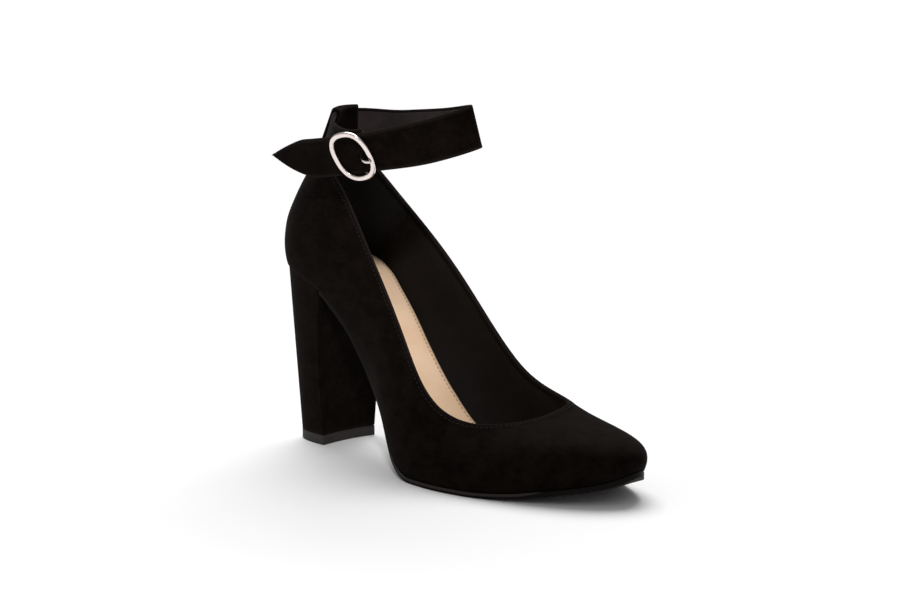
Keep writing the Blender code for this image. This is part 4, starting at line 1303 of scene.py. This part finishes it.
class PUMP_OT_buckle(bpy.types.Operator):
    """Make the polished buckle: its oval ring and bar, and the prong"""

    bl_idname = "pump.buckle"
    bl_label = "Buckle"

    def execute(self, context):
        place = BucklePlace(Strap(STRAP_FINE_STATIONS))
        self.make_ring(place)
        self.make_prong(place)
        return {"FINISHED"}

    def make_ring(self, place):
        """The oval ring, joined with a bar that is cranked in behind the strap."""
        half_width, half_height = (BUCKLE_WIDTH - BUCKLE_BAND) / 2, (BUCKLE_HEIGHT - BUCKLE_BAND) / 2
        turns = np.linspace(0.0, 2 * math.pi, RING_STATIONS, endpoint=False)
        swing = np.column_stack([np.cos(turns), np.sin(turns)])
        line = np.sign(swing) * np.abs(swing) ** (2 / BUCKLE_ROUNDNESS) * (half_width, half_height)
        line = even_spaced(np.vstack([line, line[:1]]), RING_STATIONS + 1)[:-1]
        ahead = np.roll(line, -1, axis=0) - np.roll(line, 1, axis=0)
        outward = unit(np.column_stack([ahead[:, 1], -ahead[:, 0]]))
        around = np.linspace(0.0, 2 * math.pi, SECTION_SIDES, endpoint=False)
        across = BUCKLE_BAND / 2 * np.sign(np.cos(around)) * np.abs(np.cos(around)) ** RING_FULLNESS
        rise = BUCKLE_DEPTH / 2 * np.sign(np.sin(around)) * np.abs(np.sin(around)) ** RING_FULLNESS
        rings = [
            [place.point(*(middle + out * a), RING_OUT + r) for a, r in zip(across, rise)]
            for middle, out in zip(line, outward)
        ]
        ring = loft("buckle_ring", rings, buckle_metal(), True)
        leg, leg_radius = half_height - BAR_DROP - BAR_LEG_DRAW, BAR_RADIUS - BAR_LEG_DRAW
        bends = [(half_height - BAR_ROOT, RING_OUT), (leg, BAR_OUT), (leg * BAR_FULL_SHARE, BAR_OUT)]
        bends += [(-up, out) for up, out in reversed(bends)]
        path = [place.point(0.0, up, out) for up, out in bends]
        radii = (leg_radius, leg_radius, BAR_RADIUS, BAR_RADIUS, leg_radius, leg_radius)
        bar = tube("bar", path, radii, place.forward, buckle_metal())
        boolean(ring, bar, "UNION")
        settle(ring, "polished_nickel", "buckle_frame")

    def make_prong(self, place):
        """The prong, from its hook round the bar to its rounded end on the ring."""
        hook = np.radians(np.linspace(*PRONG_HOOK_DEGREES, SECTION_SIDES + 1))
        route = [(HOOK_RADIUS * math.cos(turn), BAR_OUT + HOOK_RADIUS * math.sin(turn)) for turn in hook]
        face, front = STRAP_THICKNESS / 2, (BUCKLE_WIDTH - BUCKLE_BAND) / 2
        rest = RING_OUT + BUCKLE_DEPTH / 2 + GAP / 3 + PRONG_RADIUS
        route += [
            (HOLE_FORWARD - PRONG_LEAN, -face),
            (HOLE_FORWARD + PRONG_LEAN, face),
            (HOLE_FORWARD + 2 * PRONG_RADIUS, face + 2 * PRONG_RADIUS),
            (front - BUCKLE_BAND, rest),
            (front + BUCKLE_BAND / 4, rest),
        ]
        path = np.array([place.prong_point(along, 0.0, out) for along, out in route])
        knots = chord_knots(path, closed=False)
        fine = smooth_curve(knots, path, closed=False)(np.linspace(0.0, knots[-1], RING_STATIONS))
        lengths = lengths_along(fine)
        into_end = 1 - np.minimum((lengths[-1] - lengths) / PRONG_RADIUS, 1.0)
        radii = PRONG_RADIUS * np.sqrt(np.clip(1 - into_end**2, PRONG_TIP, 1.0))
        pin = tube("buckle_pin", fine, radii, place.prong_side, buckle_metal())
        settle(pin, "polished_nickel", "buckle_prong")


# Stitches
def stitch_tree():
    """A Geometry Nodes tree that sews stitches along an edge line, each lying on the surface under it."""
    tree = bpy.data.node_groups.new("Sewn row", "GeometryNodeTree")
    socket = tree.interface.new_socket
    socket("Line", in_out="INPUT", socket_type="NodeSocketGeometry")
    for title in ("Pitch", "Stitch length", "Thread thickness"):
        socket(title, in_out="INPUT", socket_type="NodeSocketFloat")
    socket("Thread", in_out="INPUT", socket_type="NodeSocketMaterial")
    socket("Stitches", in_out="OUTPUT", socket_type="NodeSocketGeometry")

    def add(kind, settings=None, **sockets):
        """The first output of a new node: its settings first, then the values or links of its sockets."""
        made = tree.nodes.new(kind)
        for title, value in (settings or {}).items():
            setattr(made, title, value)
        for title, value in sockets.items():
            target = made.inputs[title.replace("_", " ")]
            if isinstance(value, bpy.types.NodeSocket):
                tree.links.new(value, target)
            else:
                target.default_value = value
        return made.outputs[0]

    given = tree.nodes.new("NodeGroupInput").outputs
    thick = given["Thread thickness"]
    curve = add("GeometryNodeMeshToCurve", Mesh=given["Line"])
    spaced = add("GeometryNodeResampleCurve", {"mode": "LENGTH"}, Curve=curve, Length=given["Pitch"])
    tangent = add("GeometryNodeInputTangent")
    out = add("GeometryNodeInputNamedAttribute", {"data_type": "FLOAT_VECTOR"}, Name="out")
    align = "FunctionNodeAlignRotationToVector"
    run = add(align, {"axis": "X"}, Vector=tangent)
    turn = add(align, {"axis": "Z", "pivot_axis": "X"}, Rotation=run, Vector=out)
    scale = add("ShaderNodeCombineXYZ", X=given["Stitch length"], Y=thick, Z=thick)
    bead = add("GeometryNodeMeshUVSphere", Segments=8, Rings=6, Radius=0.5)
    slant = (0.0, 0.0, math.radians(5.0))
    stitch = add("GeometryNodeTransform", Geometry=bead, Rotation=slant, Scale=scale)
    sewn = add("GeometryNodeInstanceOnPoints", Points=spaced, Instance=stitch, Rotation=turn)
    real = add("GeometryNodeRealizeInstances", Geometry=sewn)
    smooth = add("GeometryNodeSetShadeSmooth", Geometry=real)
    coloured = add("GeometryNodeSetMaterial", Geometry=smooth, Material=given["Thread"])
    tree.links.new(coloured, tree.nodes.new("NodeGroupOutput").inputs["Stitches"])
    return tree


def sew(tree, name, rows, material, slot):
    """Stitches along rows, each of which is a line of points, its directions out and whether it closes."""
    points, out, edges = [], [], []
    for line, normals, closed in rows:
        first, count = len(points), len(line)
        points.extend(line)
        out.extend(normals)
        edges.extend((first + i, first + i + 1) for i in range(count - 1))
        if closed:
            edges.append((first + count - 1, first))
    mesh = bpy.data.meshes.new(name)
    mesh.from_pydata(np.array(points) * MM, edges, [])
    layer = mesh.attributes.new("out", "FLOAT_VECTOR", "POINT")
    layer.data.foreach_set("vector", np.ravel(out).astype(np.float32))
    piece = bpy.data.objects.new(name, mesh)
    bpy.context.scene.collection.objects.link(piece)
    modifier = piece.modifiers.new("sewing", "NODES")
    modifier.node_group = tree
    size = sizes()
    wanted = {
        "Pitch": size.stitch_pitch, "Stitch length": size.stitch_length,
        "Thread thickness": 2 * size.thread_radius, "Thread": material,
    }
    for item in tree.interface.items_tree:
        if item.in_out == "INPUT" and item.name in wanted:
            modifier[item.identifier] = wanted[item.name]
    settle(bake(piece), slot)


class PUMP_OT_stitches(bpy.types.Operator):
    """Sew the rows round the topline and round the sock"""

    bl_idname = "pump.stitches"
    bl_label = "Stitches"

    def execute(self, context):
        tree, size = stitch_tree(), sizes()
        black = thread("black thread", colours().thread)
        line, out = UpperSkin().at_inset(size.seam_inset / MM, THREAD_LIFT)
        sew(tree, "topline_stitches", [(line, out, True)], black, "black_suede")
        brown = thread("brown thread", colours().sock_thread)
        sew(tree, "sock_stitches", self.sock_rows(size.sock_seam_inset / MM), brown, "tan_leather")
        return {"FINISHED"}

    def sock_rows(self, inset):
        """A row along the outer and the inner edge of the sock."""
        layer, rows = sock_layer(), []
        x = np.linspace(layer.low + SOCK_SEAM_START, along_x(SOCK_SEAM_END_ALONG), SOCK_SEAM_POINTS)
        first, last = layer.edges(x)
        for y in (first + inset, last - inset):
            z = layer.top(x, y, np.full_like(x, inset)) + SOCK_THREAD_LIFT
            slope = np.gradient(z, x)
            normals = unit(np.column_stack([-slope, np.zeros_like(x), np.ones_like(x)]))
            rows.append((np.column_stack([x, y, z]), normals, False))
        return rows


# Stage
class PUMP_OT_stage(bpy.types.Operator):
    """Set up the pale floor, the soft lights and the camera"""

    bl_idname = "pump.stage"
    bl_label = "Stage"

    def execute(self, context):
        scene, stage = context.scene, context.scene.pump_stage
        scene.view_settings.view_transform = "Standard"
        self.make_floor(stage)
        self.make_surround(scene, stage)
        self.make_skylight(stage)
        self.make_fill()
        self.make_camera(scene, stage)
        return {"FINISHED"}

    def make_floor(self, stage):
        finish = Finish("studio floor", Specular_IOR_Level=0.2)
        clouds = finish.noise(400.0, 2.0)
        finish.feed(Base_Color=finish.blend(clouds * 0.02, stage.floor, (0.88, 0.875, 0.875)))
        finish.feed(Roughness=0.72 + clouds * 0.06)
        reach = FLOOR_REACH / MM
        corners = [(-reach, -reach, 0.0), (reach, -reach, 0.0), (reach, reach, 0.0), (-reach, reach, 0.0)]
        new_piece("studio_floor", corners, [(0, 1, 2, 3)], finish.material)

    def make_surround(self, scene, stage):
        """Dim light from all round, behind a backdrop that looks white."""
        world = bpy.data.worlds.new("white surround")
        world.use_nodes = True
        nodes, links = world.node_tree.nodes, world.node_tree.links
        glow = nodes["Background"]
        glow.inputs["Color"].default_value = (1.0, 1.0, 1.0, 1.0)
        glow.inputs["Strength"].default_value = stage.surround
        kinds = ("ShaderNodeBackground", "ShaderNodeLightPath", "ShaderNodeMixShader")
        backdrop, seen, mix = (nodes.new(kind) for kind in kinds)
        links.new(seen.outputs["Is Camera Ray"], mix.inputs[0])
        links.new(glow.outputs[0], mix.inputs[1])
        links.new(backdrop.outputs[0], mix.inputs[2])
        links.new(mix.outputs[0], nodes["World Output"].inputs[0])
        scene.world = world

    def add_lamp(self, data, place, target):
        """A lamp at a place, turned to its target."""
        lamp = bpy.data.objects.new(data.name, data)
        lamp.location = place
        lamp.rotation_euler = (Vector(target) - lamp.location).to_track_quat("-Z", "Y").to_euler()
        bpy.context.scene.collection.objects.link(lamp)

    def make_skylight(self, stage):
        """A wide soft light high up behind the shoe."""
        turn, height = stage.azimuth, stage.skylight_height
        data = bpy.data.lights.new("skylight", "SUN")
        data.energy, data.angle = stage.skylight, stage.skylight_spread
        level = math.cos(height)
        place = Vector((-math.sin(turn) * level, math.cos(turn) * level, math.sin(height)))
        self.add_lamp(data, SKYLIGHT_DISTANCE * place, (0.0, 0.0, 0.0))

    def make_fill(self):
        """A small soft light from the front into the shoe."""
        data = bpy.data.lights.new("fill", "SPOT")
        data.energy, data.shadow_soft_size = FILL_ENERGY, FILL_RADIUS
        data.spot_size, data.spot_blend = FILL_CONE, 1.0
        self.add_lamp(data, FILL_PLACE, FILL_AIM)

    def make_camera(self, scene, stage):
        turn, rise = stage.azimuth, stage.elevation
        right = Vector((math.cos(turn), math.sin(turn), 0.0))
        back = Vector((math.sin(turn) * math.cos(rise), -math.cos(turn) * math.cos(rise), math.sin(rise)))
        data = bpy.data.cameras.new("studio camera")
        data.lens, data.sensor_width = stage.lens, SENSOR_WIDTH
        data.clip_start, data.clip_end = CLIP_START, CLIP_END
        camera = bpy.data.objects.new("studio camera", data)
        camera.location = right * stage.aim_right + Vector((0.0, 0.0, stage.aim_up)) + back * stage.distance
        camera.rotation_euler = (-back).to_track_quat("-Z", "Y").to_euler()
        scene.collection.objects.link(camera)
        scene.camera = camera


class VIEW3D_PT_pump(bpy.types.Panel):
    """Lists the pump's pieces and their sizes, colours and stage"""

    bl_idname = "VIEW3D_PT_pump"
    bl_label = "Ankle-strap pump"
    bl_space_type = "VIEW_3D"
    bl_region_type = "UI"
    bl_category = "Pump"

    def draw(self, context):
        column = self.layout.column()
        for operator in OPERATORS:
            column.operator(operator.bl_idname)
        for group in (context.scene.pump_sizes, context.scene.pump_colours, context.scene.pump_stage):
            box = self.layout.box()
            for title in group.__annotations__:
                box.prop(group, title)


GROUPS = {"pump_sizes": PumpSizes, "pump_colours": PumpColours, "pump_stage": PumpStage}
OPERATORS = (
    PUMP_OT_upper, PUMP_OT_sole, PUMP_OT_sock, PUMP_OT_heel,
    PUMP_OT_strap, PUMP_OT_buckle, PUMP_OT_stitches, PUMP_OT_stage,
)


def register():
    for made in (*GROUPS.values(), *OPERATORS, VIEW3D_PT_pump):
        bpy.utils.register_class(made)
    for title, group in GROUPS.items():
        setattr(bpy.types.Scene, title, PointerProperty(type=group))


def unregister():
    for title in GROUPS:
        delattr(bpy.types.Scene, title)
    for made in (VIEW3D_PT_pump, *reversed(OPERATORS), *GROUPS.values()):
        bpy.utils.unregister_class(made)


def main():
    register()
    bpy.ops.pump.upper()
    bpy.ops.pump.sole()
    bpy.ops.pump.sock()
    bpy.ops.pump.heel()
    bpy.ops.pump.strap()
    bpy.ops.pump.buckle()
    bpy.ops.pump.stitches()
    bpy.ops.pump.stage()


if __name__ == "__main__":
    main()
